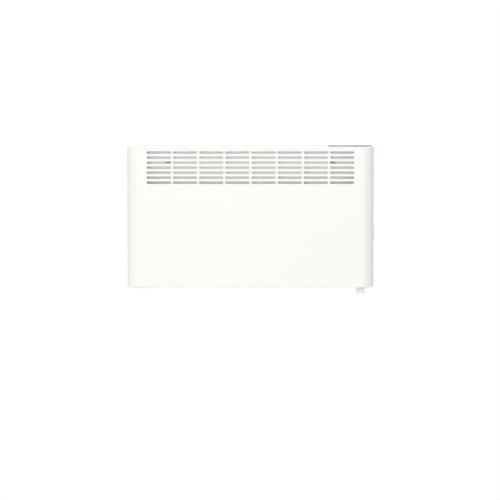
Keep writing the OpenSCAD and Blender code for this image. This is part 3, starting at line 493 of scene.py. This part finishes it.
FINISHES = {
    "case_paint": powder_coat("case_paint", (0.933, 0.938, 0.9), 0.5),
    "rear_zinc": zinc("rear_zinc", (0.77, 0.775, 0.75), 0.58, 9, 0.03, depth=0.002),
    "zinc_sheet": zinc("zinc_sheet", (0.78, 0.79, 0.8), 0.42, 11, 0.1),
    # The bracket's zinc is set far darker than the other zinc sheet. The zinc is real, but the
    # darkness is painted shade for the dark gaps seen through the hook openings of the rear panel.
    "bracket_zinc": zinc("bracket_zinc", (0.36, 0.37, 0.38), 0.52, 14, 0.15),
    "tube_steel": heated_steel("tube_steel", (0.16, 0.15, 0.15)),
    "fin_aluminium": mill_metal("fin_aluminium", (0.8, 0.8, 0.81), 0.35, (1, 1, 0.06)),
    "bush_ceramic": unglazed("bush_ceramic", (0.82, 0.78, 0.68)),
    "screw_steel": mill_metal("screw_steel", (0.72, 0.72, 0.74), 0.25, (1, 1, 1)),
    "circuit_board": circuit("circuit_board", (0.02, 0.16, 0.07)),
    "component_plastic": moulded("component_plastic", (0.1, 0.12, 0.16), 0.4),
    "ivory_plastic": moulded("ivory_plastic", (0.75, 0.72, 0.62), 0.45),
    "gland_plastic": moulded("gland_plastic", (0.045, 0.045, 0.048), 0.45),
    "black_rubber": rubber("black_rubber", (0.03, 0.03, 0.03)),
    "brass": mill_metal("brass", (0.72, 0.53, 0.24), 0.28, (1, 1, 1)),
    "switch_plastic": moulded("switch_plastic", (0.86, 0.865, 0.85), 0.3, 0.8, 0.006, 0.01),
    "panel_plastic": moulded("panel_plastic", (0.035, 0.036, 0.038), 0.24, 0.6, 0.002),
    "button_plastic": moulded("button_plastic", (0.13, 0.13, 0.135), 0.3, 0.5, 0.002),
    "display_lens": lens_gloss("display_lens", (0.012, 0.013, 0.016)),
    "latch_plastic": moulded("latch_plastic", (0.9, 0.905, 0.89), 0.42, 0.6, 0.012, 0.02),
    "red_lead": sheathed("red_lead", (0.42, 0.03, 0.025), 0.45),
    "white_lead": sheathed("white_lead", (0.7, 0.69, 0.64), 0.5),
    "grey_lead": sheathed("grey_lead", (0.2, 0.2, 0.21), 0.45),
    "brown_lead": sheathed("brown_lead", (0.14, 0.055, 0.025), 0.4),
    "earth_lead": sheathed("earth_lead", (0.3, 0.45, 0.03), 0.4),
}
PRINT = moulded("button_print", (0.78, 0.78, 0.77), 0.5)


# Pieces


def weigh_normals(piece):
    """Keeps flat faces flat beside their rounded edges."""
    normals = piece.modifiers.new("normals", "WEIGHTED_NORMAL")
    normals.keep_sharp = True
    normals.weight = 50


def dress(piece, node, extra=()):
    """Gives a piece the body of the node that it stands for, and the finish of that node's slot."""
    slot = SLOT_OF[node]
    piece.data.materials.clear()
    for material in (FINISHES[slot].material, *extra):
        piece.data.materials.append(material)
    bpy.context.scene.collection.objects.link(piece)
    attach(piece, BODY_OF[node])
    return piece


class Shape:
    """Points and faces of one piece, in mm, before it becomes an object."""

    def __init__(self):
        self.points = []
        self.faces = []
        self.printed = set()

    def row(self, points):
        """Adds points and gives their numbers."""
        first = len(self.points)
        self.points += [tuple(point) for point in points]
        return list(range(first, len(self.points)))

    def band(self, a, b, closed=True):
        """Quads between two rows."""
        for i in range(len(a) if closed else len(a) - 1):
            j = (i + 1) % len(a)
            self.faces.append((a[i], a[j], b[j], b[i]))

    def tube(self, rows):
        """Bands from each row to the next."""
        for a, b in zip(rows, rows[1:]):
            self.band(a, b)

    def face(self, row):
        """One flat face round a row."""
        self.faces.append(tuple(row))

    def fill(self, outer, *holes):
        """Flat faces between an outer row and the rows of its holes."""
        rows = [outer, *holes]
        order = [n for row in rows for n in row]
        loops = [[Vector(self.points[n]) for n in row] for row in rows]
        for corners in tessellate_polygon(loops):
            self.faces.append(tuple(order[k] for k in corners))

    def mark(self, first_face):
        """The faces added since first_face carry the print."""
        self.printed.update(range(first_face, len(self.faces)))

    def make(self, name, node, sharp=32, extra=()):
        """The finished piece, in the materials of its node."""
        mesh = bpy.data.meshes.new(name)
        mesh.from_pydata([Vector(point) * MM for point in self.points], [], self.faces)
        work = bmesh.new()
        work.from_mesh(mesh)
        bmesh.ops.recalc_face_normals(work, faces=work.faces)
        work.to_mesh(mesh)
        work.free()
        piece = dress(bpy.data.objects.new(name, mesh), node, extra)
        for number in self.printed:
            mesh.polygons[number].material_index = 1
        return shade_round(piece, sharp)


def shade_round(piece, sharp=32, bevel=0):
    """Smooth shading up to an angle, with edges above it rounded over by bevel mm."""
    mesh = piece.data
    mesh.shade_smooth()
    if bevel:
        rounding = piece.modifiers.new("rounding", "BEVEL")
        rounding.width = bevel * MM
        rounding.segments = 2
        rounding.limit_method = "ANGLE"
        rounding.angle_limit = math.radians(sharp)
        rounding.harden_normals = False
    else:
        mesh.set_sharp_from_angle(angle=math.radians(sharp))
    weigh_normals(piece)
    return piece


def soften(node, radius):
    """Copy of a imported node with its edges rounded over."""
    mesh = NODES[node].data.copy()
    work = bmesh.new()
    work.from_mesh(mesh)
    bmesh.ops.remove_doubles(work, verts=work.verts, dist=1e-6)
    bmesh.ops.dissolve_limit(
        work, angle_limit=math.radians(0.4), verts=work.verts, edges=work.edges
    )
    work.to_mesh(mesh)
    work.free()
    piece = dress(bpy.data.objects.new(node + "_rounded", mesh), node)
    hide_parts(node)
    shade_round(piece, bevel=radius)


def arc(start, end, steps):
    """Angles from start to end degrees, both included."""
    return [math.radians(start + (end - start) * i / steps) for i in range(steps + 1)]


def plan(inset, back):
    """The case from above, from its left rear edge round the front to its right rear edge."""
    radius = CORNER - inset
    x = SIDE - CORNER
    y = FRONT + CORNER
    bend = arc(0, 90, CORNER_STEPS)
    points = [(inset - SIDE, back)]
    points += [(-x - radius * math.cos(a), y - radius * math.sin(a)) for a in bend]
    points += [(x + radius * math.sin(a), y - radius * math.cos(a)) for a in bend]
    points.append((SIDE - inset, back))
    return points


# Points of that outline: both ends of the flat front, and the front end of the right side
LEFT_BEND = 1 + CORNER_STEPS
RIGHT_BEND = LEFT_BEND + 1
RIGHT_REAR = RIGHT_BEND + CORNER_STEPS


def slot_loop(x, z, grow):
    """Round-ended slot: its upper half from right to left, then its lower half back."""
    r = SLOT_HEIGHT / 2 + grow
    reach = (SLOT_LENGTH - SLOT_HEIGHT) / 2
    end = arc(0, 90, SLOT_STEPS)
    right = [(x + reach + r * math.cos(a), z + r * math.sin(a)) for a in end]
    left = [(x - reach - r * math.sin(a), z + r * math.cos(a)) for a in end]
    upper = right + left
    lower = [(2 * x - px, 2 * z - pz) for px, pz in upper[1:-1]]
    return upper + lower


def pierced_wall(shape, corners, xs, zs, loop, rims, place):
    """Flat wall with a hole in each cell of a grid.

    corners are the wall's four point numbers on each of its two faces, rims the pairs of the hole's
    growth and depth from the outer face to the inner, and place gives the point for a grid point
    and a depth.
    """
    faces = ((rims[0], corners[0]), (rims[-1], corners[1]))
    holes = {}
    for i, (x0, x1) in enumerate(zip(xs, xs[1:])):
        for j, (z0, z1) in enumerate(zip(zs, zs[1:])):
            middle = ((x0 + x1) / 2, (z0 + z1) / 2)
            rows = [
                shape.row(place(u, w, depth) for u, w in loop(*middle, grow))
                for grow, depth in rims
            ]
            shape.tube(rows)
            holes[i, j] = rows[0], rows[-1]
    for side, ((_, depth), (low_left, low_right, high_right, high_left)) in enumerate(faces):
        grid = {}
        for i, x in enumerate(xs):
            for j, z in enumerate(zs):
                grid[2 * i, 2 * j] = shape.row([place(x, z, depth)])[0]
            for j, (z0, z1) in enumerate(zip(zs, zs[1:])):
                grid[2 * i, 2 * j + 1] = shape.row([place(x, (z0 + z1) / 2, depth)])[0]
        last_i, last_j = 2 * (len(xs) - 1), 2 * (len(zs) - 1)
        for (i, j), rims_of in holes.items():
            hole = rims_of[side]
            half = len(hole) // 2
            a, b = 2 * i, 2 * j
            upper = [grid[a, b + 1], grid[a, b + 2], grid[a + 2, b + 2], grid[a + 2, b + 1]]
            lower = [grid[a + 2, b + 1], grid[a + 2, b], grid[a, b], grid[a, b + 1]]
            shape.face(upper + hole[: half + 1])
            shape.face(lower + hole[half:] + hole[:1])
        bottom = [grid[i, 0] for i in range(0, last_i + 1, 2)]
        top = [grid[i, last_j] for i in range(0, last_i + 1, 2)]
        left = [grid[0, j] for j in range(last_j + 1)]
        right = [grid[last_i, j] for j in range(last_j + 1)]
        shape.face([low_left, low_right] + bottom[::-1])
        shape.face([high_left, high_right] + top[::-1])
        shape.face([low_left, high_left] + left[::-1])
        shape.face([low_right, high_right] + right[::-1])


def make_case():
    """Front, sides and bottom lip, folded from one sheet; the slots' edges are rounded over."""
    fold = 1.7
    inner = fold - SHEET
    edge = 0.45
    burr = 0.25
    centre = BOTTOM + fold
    rounding = arc(0, 90, 3)
    section = [(LIP, BOTTOM)]
    section += [(fold - fold * math.sin(a), centre - fold * math.cos(a)) for a in arc(0, 90, 5)]
    wall_low = len(section) - 1
    section += [(edge - edge * math.cos(a), SEAM - edge + edge * math.sin(a)) for a in rounding]
    section += [(SHEET, SEAM)]
    inner_high = len(section) - 1
    section += [(fold - inner * math.cos(a), centre - inner * math.sin(a)) for a in rounding]
    section += [(LIP, BOTTOM + SHEET)]
    shape = Shape()
    rows = []
    for inset, z in section:
        back = REAR if inset <= SHEET else REAR - REAR_SHEET - FIT
        rows.append(shape.row((x, y, z) for x, y in plan(inset, back)))
    walls = ((wall_low, wall_low + 1), (inner_high, inner_high + 1))
    for k in range(len(rows)):
        low, high = rows[k], rows[(k + 1) % len(rows)]
        for i in range(len(low) - 1):
            if (k, k + 1) in walls and i in (LEFT_BEND, RIGHT_REAR):
                continue
            shape.face((low[i], low[i + 1], high[i + 1], high[i]))
    shape.face([row[0] for row in rows])
    shape.face([row[-1] for row in rows])

    def corners(i):
        """Corners of the flat wall after point i of the outline, outside and inside."""
        outer_low, outer_high = rows[wall_low], rows[wall_low + 1]
        inner_top, inner_low = rows[inner_high], rows[inner_high + 1]
        return (
            (outer_low[i], outer_low[i + 1], outer_high[i + 1], outer_high[i]),
            (inner_low[i], inner_low[i + 1], inner_top[i + 1], inner_top[i]),
        )

    rims = [(edge * (1 - math.sin(a)), edge * (1 - math.cos(a))) for a in rounding]
    rims += [(0, SHEET - burr), (burr, SHEET)]
    xs = [(i - SLOT_COLUMNS / 2) * SLOT_PITCH for i in range(SLOT_COLUMNS + 1)]
    zs = [TOP_ROW + (0.5 - SLOT_ROWS + j) * ROW_PITCH for j in range(SLOT_ROWS + 1)]
    pierced_wall(
        shape, corners(LEFT_BEND), xs, zs, slot_loop, rims, lambda x, z, d: (x, FRONT + d, z)
    )
    y, z = BEZEL_MIDDLE.y, BEZEL_MIDDLE.z
    around = 5

    def cutout(u, w, grow):
        """Opening for the neck of the switch."""
        a, b = NECK_HALF_Y + grow, NECK_HALF_Z + grow
        upper = [(u + a, w), (u + a, w + b), (u - a, w + b)]
        return upper + [(u - a, w), (u - a, w - b), (u + a, w - b)]

    pierced_wall(
        shape,
        corners(RIGHT_REAR),
        [y - NECK_HALF_Y - around, y + NECK_HALF_Y + around],
        [z - NECK_HALF_Z - around, z + NECK_HALF_Z + around],
        cutout,
        [(0, 0), (0, SHEET)],
        lambda u, w, d: (SIDE - d, u, w),
    )
    flange_low, flange_high = BOTTOM + 3.2, SEAM - 10
    back = REAR - REAR_SHEET
    for side in (-1, 1):
        a, b = side * (SIDE - SHEET), side * (SIDE - SHEET - LIP)
        ring = [(a, back), (b, back), (b, back - SHEET), (a, back - SHEET)]
        low, high = (shape.row((x, y, z) for x, y in ring) for z in (flange_low, flange_high))
        shape.band(low, high)
        shape.face(low)
        shape.face(high)
    case = shape.make("case_shell", "front_case")
    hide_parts("front_case")


def rounded_loop(x0, x1, y0, y1, radii, steps=6):
    """Rectangle with round corners, from the corner of the lowest x and y against the clock."""
    corners = ((x0, y0, 180), (x1, y0, 270), (x1, y1, 0), (x0, y1, 90))
    points = []
    for (x, y, start), r in zip(corners, radii):
        mx = x + r if x == x0 else x - r
        my = y + r if y == y0 else y - r
        bend = arc(start, start + 90, steps)
        points += [(mx + r * math.cos(a), my + r * math.sin(a)) for a in bend]
    return points


def panel_loop(inset):
    """The control panel from above: its front right corner follows the case."""
    reach = SIDE - PANEL_EDGE - inset
    radii = (SMALL_CORNER, CORNER - PANEL_EDGE - inset, SMALL_CORNER, SMALL_CORNER)
    return rounded_loop(
        PANEL_LOW.x + inset, reach, PANEL_LOW.y + inset, PANEL_HIGH.y - inset, radii, 10
    )


def circle_loop(x, y, r, steps=40):
    """Circle against the clock."""
    return [(x + r * math.cos(a), y + r * math.sin(a)) for a in arc(0, 360, steps)[:-1]]


def make_cover():
    """Top cover with its rounded edge, a fine lip along the seam and the panel's opening."""
    low = SEAM + FIT
    edge = 5.0
    small = 0.3
    centre = low + small
    section = [(SHEET, low), (small, low)]
    section += [(small - small * math.sin(a), centre - small * math.cos(a)) for a in arc(30, 90, 2)]
    section += [
        (edge - edge * math.cos(a), TOP - edge + edge * math.sin(a)) for a in arc(0, 90, 10)
    ]
    shape = Shape()
    outer = []
    for inset, z in section:
        outer.append(shape.row((x, y, z) for x, y in plan(inset, REAR)))
    for a, b in zip(outer, outer[1:]):
        shape.band(a, b, closed=False)
    tongue_low = SEAM - 6.5
    tongue = SHEET + FIT
    rear = REAR - REAR_SHEET
    inner = [
        shape.row((x, y, z) for x, y in plan(inset, back))
        for inset, back, z in (
            (tongue, rear, tongue_low),
            (tongue + SHEET, rear - SHEET, tongue_low),
            (tongue + SHEET, rear - SHEET, TOP - SHEET),
        )
    ]
    tongue_top = shape.row((x, y, low) for x, y in plan(tongue, rear))
    shape.band(outer[0], tongue_top, closed=False)
    shape.band(tongue_top, inner[0], closed=False)
    shape.band(inner[0], inner[1])
    shape.band(inner[1], inner[2])
    opening = [
        shape.row((x, y, z) for x, y in panel_loop(NECK_IN - FIT)) for z in (TOP, TOP - SHEET)
    ]
    shape.tube(opening)
    shape.fill(outer[-1], opening[0])
    shape.fill(inner[2], opening[1])
    skirt = [row[0] for row in outer] + [row[-1] for row in outer[::-1]]
    shape.face([tongue_top[0]] + skirt + [tongue_top[-1]])
    shape.face([inner[0][0], tongue_top[0], tongue_top[-1], inner[0][-1]])
    cover = shape.make("cover_shell", "top_cover")
    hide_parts("top_cover")


def make_panel():
    """Control panel with rounded rim, window recess and button holes."""
    rim = 0.25
    soft = 0.3
    hole = BUTTON_RADIUS + BUTTON_PLAY
    floor = PANEL_TOP - 1.2
    shape = Shape()
    section = [
        (rim - rim * math.sin(a), PANEL_TOP - rim + rim * math.cos(a)) for a in arc(0, 90, 4)
    ]
    section += [(0, TOP), (NECK_IN, TOP), (NECK_IN, PANEL_FOOT)]
    section += [(NECK_IN + NECK_WALL, PANEL_FOOT), (NECK_IN + NECK_WALL, PANEL_UNDER)]
    rows = [shape.row((x, y, z) for x, y in panel_loop(inset)) for inset, z in section]
    shape.tube(rows)
    upper, lower = [], []
    for node in BUTTONS:
        x, y = middle(node)
        rims = [
            (hole + soft * (1 - math.sin(a)), PANEL_TOP - soft * (1 - math.cos(a)))
            for a in arc(0, 90, 3)
        ]
        rims.append((hole, PANEL_UNDER))
        rings = [shape.row((px, py, z) for px, py in circle_loop(x, y, r)) for r, z in rims]
        shape.tube(rings)
        upper.append(rings[0])
        lower.append(rings[-1])
    steps = [(-0.4, PANEL_TOP, 2.0), (-0.22, PANEL_TOP - 0.06, 1.8), (-0.1, PANEL_TOP - 0.25, 1.6)]
    steps += [(-0.1, floor, 1.6), (1.4, floor, 1.0), (1.4, PANEL_UNDER, 1.0)]
    rings = [shape.row((x, y, z) for x, y in window_loop(inset, r)) for inset, z, r in steps]
    shape.tube(rings)
    shape.fill(rows[0], rings[0], *upper)
    shape.fill(rows[-1], rings[-1], *lower)
    panel = shape.make("panel_moulding", "control_panel", sharp=35)
    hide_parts("control_panel")


def middle(node):
    """Middle of a node from above."""
    low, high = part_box(node)
    return (low.x + high.x) / 2 / MM, (low.y + high.y) / 2 / MM


def window_loop(inset, corner):
    """The window from above."""
    x0, x1 = WINDOW_LOW.x + inset, WINDOW_HIGH.x - inset
    y0, y1 = WINDOW_LOW.y + inset, WINDOW_HIGH.y - inset
    return rounded_loop(x0, x1, y0, y1, (corner,) * 4)


def make_window():
    """Smoked window with a fine chamfer."""
    shape = Shape()
    top = WINDOW_HIGH.z
    section = [(0.3, top), (0.08, top - 0.08), (0, top - 0.3), (0, WINDOW_LOW.z)]
    rows = [
        shape.row((x, y, z) for x, y in window_loop(inset, WINDOW_CORNER - inset))
        for inset, z in section
    ]
    shape.tube(rows)
    shape.face(rows[0])
    shape.face(rows[-1])
    window = shape.make("window_pane", "display_window")
    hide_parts("display_window")


def turn(shape, x, y, profile):
    """Piece turned about a vertical axis from radii and heights; a radius of 0 is a point."""
    steps = BUTTON_STEPS
    last = None
    for r, z in profile:
        circle = circle_loop(x, y, r, steps) if r else [(x, y)]
        here = shape.row((px, py, z) for px, py in circle)
        if last is not None:
            if len(last) == 1 or len(here) == 1:
                tip, ring = (last, here) if len(last) == 1 else (here, last)
                for i in range(steps):
                    shape.face((tip[0], ring[i], ring[(i + 1) % steps]))
            else:
                shape.band(last, here)
        last = here


def raised_mark(shape, loop, low, high):
    """Small flat-topped mark with softened edges; loop gives its outline for an inset."""
    first = len(shape.faces)
    section = ((0, low), (0, high - MARK_EDGE), (MARK_EDGE, high))
    rows = [shape.row((x, y, z) for x, y in loop(inset)) for inset, z in section]
    shape.tube(rows)
    shape.face(rows[0])
    shape.face(rows[-1])
    shape.mark(first)


def bar_loop(x, y):
    """Outline of a bar for an inset."""

    def loop(inset):
        a, b = BAR_LENGTH / 2 - inset, BAR_WIDTH / 2 - inset
        return rounded_loop(x - a, x + a, y - b, y + b, (b * 0.6,) * 4, 3)

    return loop


def ring_mark(shape, x, y, outer, inner, low, high):
    """Small raised ring with softened edges."""
    first = len(shape.faces)
    soft = MARK_EDGE
    section = [(outer, low), (outer, high - soft), (outer - soft, high)]
    section += [(inner + soft, high), (inner, high - soft), (inner, low)]
    rows = [shape.row((px, py, z) for px, py in circle_loop(x, y, r, 32)) for r, z in section]
    shape.tube(rows + rows[:1])
    shape.mark(first)


def cross_loop(x, y):
    """Outline of a cross for an inset."""

    def loop(inset):
        a, b = BAR_LENGTH / 2 - inset, BAR_WIDTH / 2 - inset
        quarter = [(a, -b), (a, b), (b, b)]
        points = []
        for k in range(4):
            c, s = round(math.cos(k * math.pi / 2)), round(math.sin(k * math.pi / 2))
            points += [(x + px * c - py * s, y + px * s + py * c) for px, py in quarter]
        return points

    return loop


def make_button(node):
    """Button with a dished top, a rounded edge, its lip below the panel and a raised mark."""
    low, high = (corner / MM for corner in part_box(node))
    x, y = middle(node)
    top = high.z
    dish = 0.5
    edge = 0.7
    lip = (high.x - low.x) / 2
    lip_top = low.z + 0.9
    lip_edge = 0.15
    shape = Shape()
    reach = BUTTON_RADIUS - edge
    profile = [(0, top - dish)]
    profile += [(reach * k / 8, top - dish * (1 - (k / 8) ** 2)) for k in range(1, 9)]
    profile += [
        (reach + edge * math.sin(a), top - edge + edge * math.cos(a)) for a in arc(15, 90, 5)
    ]
    profile += [(BUTTON_RADIUS, lip_top), (lip - lip_edge, lip_top), (lip, lip_top - lip_edge)]
    profile += [(lip, low.z), (0, low.z)]
    turn(shape, x, y, profile)
    under, over = top - dish - 0.3, top - dish + 0.28
    if node == "minus_button":
        raised_mark(shape, bar_loop(x, y), under, over)
    elif node == "plus_button":
        raised_mark(shape, cross_loop(x, y), under, over)
    elif node == "menu_button":
        for step in (-2 * BAR_WIDTH, 0, 2 * BAR_WIDTH):
            raised_mark(shape, bar_loop(x, y + step), under, over)
    else:
        ring_mark(shape, x, y, BAR_LENGTH / 2, BAR_LENGTH / 2 - BAR_WIDTH, under, over)
    button = shape.make(node + "_cap", node, extra=(PRINT.material,))
    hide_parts(node)


def side_loop(half_y, half_z, corner):
    """Round-cornered rectangle about the switch's middle, as y and z."""
    y, z = BEZEL_MIDDLE.y, BEZEL_MIDDLE.z
    return rounded_loop(y - half_y, y + half_y, z - half_z, z + half_z, (corner,) * 4)


def make_bezel():
    """Switch frame with rounded rim and a neck that holds the rocker."""
    half_y = (BEZEL_HIGH.y - BEZEL_LOW.y) / 2
    half_z = (BEZEL_HIGH.z - BEZEL_LOW.z) / 2
    rim, corner, frame_width, mouth = 1.1, 2.4, 2.4, 0.4
    face = BEZEL_HIGH.x
    section = [(NECK_BACK, 1.5, 0.4), (SIDE, 1.5, 0.4), (SIDE, 0, corner)]
    section += [
        (face - rim + rim * math.sin(a), rim - rim * math.cos(a), corner) for a in arc(0, 90, 5)
    ]
    section += [
        (face - mouth + mouth * math.cos(a), frame_width - mouth + mouth * math.sin(a), 0.9)
        for a in arc(0, 90, 4)
    ]
    section += [(NECK_BACK, frame_width, 0.5)]
    shape = Shape()
    rows = [
        shape.row((x, y, z) for y, z in side_loop(half_y - inset, half_z - inset, radius))
        for x, inset, radius in section
    ]
    shape.tube(rows + rows[:1])
    bezel = shape.make("switch_frame", "switch_bezel")
    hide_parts("switch_bezel")


def make_rocker():
    """Rocker with a hollowed face and its two marks, resting with its lower end out."""
    reach, face, under = 12.2, 4.5, -3.0
    hollow_r, hollow_w = 45.75, face + 43.92
    foot_r, foot_w = reach * 2.15, under - reach * 2.1
    corner_w = (hollow_w**2 + reach**2 - hollow_r**2) / (2 * hollow_w)
    corner_u = math.sqrt(reach**2 - corner_w**2)
    half = (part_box("rocker")[1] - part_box("rocker")[0]).y / 2 / MM - 1.0
    tilt = math.radians(ROCKER_REST)

    def surface(u):
        """Height of the hollowed face."""
        return hollow_w - math.sqrt(hollow_r**2 - u * u)

    def placed(along, u, w):
        """Place on the tilted rocker, as x, y and z."""
        out, up = w * math.cos(tilt) - u * math.sin(tilt), u * math.cos(tilt) + w * math.sin(tilt)
        return PIVOT_X + out, BEZEL_MIDDLE.y + along, BEZEL_MIDDLE.z + up

    low_end = math.degrees(math.asin(under / reach))
    high_end = math.degrees(math.atan2(corner_w, corner_u))
    right = [(reach * math.cos(a), reach * math.sin(a)) for a in arc(low_end, high_end, 6)]
    top = [(corner_u * (1 - k / 10), surface(corner_u * (1 - k / 10))) for k in range(1, 20)]
    left = [(-u, w) for u, w in right[::-1]]
    bow = math.sqrt(foot_r**2 - (under - foot_w) ** 2)
    across = [bow * (k / 6 - 1) for k in range(13)]
    bottom = [(u, foot_w + math.sqrt(foot_r**2 - u**2)) for u in across]
    outline = right + top + left + bottom
    shape = Shape()
    grown = [(half, 0.5), (half - 0.15, 0.15), (half - 0.5, 0)]
    rows = []
    for along, inset in [(-a, b) for a, b in grown] + grown[::-1]:
        points = []
        for k, (u, w) in enumerate(outline):
            (u0, w0), (u1, w1) = outline[k - 1], outline[(k + 1) % len(outline)]
            length = math.hypot(u1 - u0, w1 - w0)
            out_u, out_w = (w1 - w0) / length, (u0 - u1) / length
            points.append(placed(along, u - inset * out_u, w - inset * out_w))
        rows.append(shape.row(points))
    shape.tube(rows)
    shape.face(rows[0])
    shape.face(rows[-1])
    first = len(shape.faces)
    sunk, shoulder, crest, soft = -0.3, 0.06, 0.14, 0.08
    bar = [rounded_loop(-0.4 + i, 0.4 - i, 4.6 + i, 8.0 - i, (0.3,) * 4, 3) for i in (0, 0, soft)]
    rows = [
        shape.row(placed(a, u, surface(u) + rise) for a, u in loop)
        for loop, rise in zip(bar, (sunk, shoulder, crest))
    ]
    shape.tube(rows)
    shape.face(rows[0])
    shape.face(rows[-1])
    outer, inner = 1.75, 1.05
    section = [(outer, sunk), (outer, shoulder), (outer - soft, crest)]
    section += [(inner + soft, crest), (inner, shoulder), (inner, sunk)]
    rows = [
        shape.row(placed(a, u, surface(u) + rise) for a, u in circle_loop(0, -6.3, r, 32))
        for r, rise in section
    ]
    shape.tube(rows + rows[:1])
    shape.mark(first)
    rocker = shape.make("rocker_cap", "rocker", sharp=40, extra=(PRINT.material,))
    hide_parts("rocker")


make_case()
make_cover()
make_panel()
make_window()
for node in BUTTONS:
    make_button(node)
make_bezel()
make_rocker()

for node, thing in NODES.items():
    for place in thing.material_slots:
        place.material = FINISHES[SLOT_OF[node]].material

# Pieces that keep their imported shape, with the radius in mm of their rounded edges
EDGES = {
    "rear_panel": 0.3, "inlet_grille": 0.3, "bracket_top_rail": 0.4, "bracket_bottom_rail": 0.4,
    "left_upright": 0.4, "right_upright": 0.4, "left_latch_guide": 0.35, "right_latch_guide": 0.35,
    "left_latch": 0.45, "right_latch": 0.45, "cable_gland": 0.4, "gland_nut": 0.4,
    "case_screws": 0.2, "cover_screws": 0.2, "bracket_rivets": 0.25, "heat_shield": 0.25,
    "front_baffle": 0.25, "left_element_bracket": 0.3, "right_element_bracket": 0.3,
    "compartment_wall": 0.25, "wire_grommet": 0.6, "power_relay": 0.6, "filter_capacitor": 0.8,
    "board_connectors": 0.3, "terminal_block": 0.5, "switch_body": 0.4, "sensor_clip": 0.3,
    "display_module": 0.3, "control_housing": 0.3, "tact_switches": 0.25, "element_bushes": 0.4,
    "safety_cutout": 0.3, "board_spacers": 0.3, "earth_stud": 0.2,
}
for node, radius in EDGES.items():
    soften(node, radius)
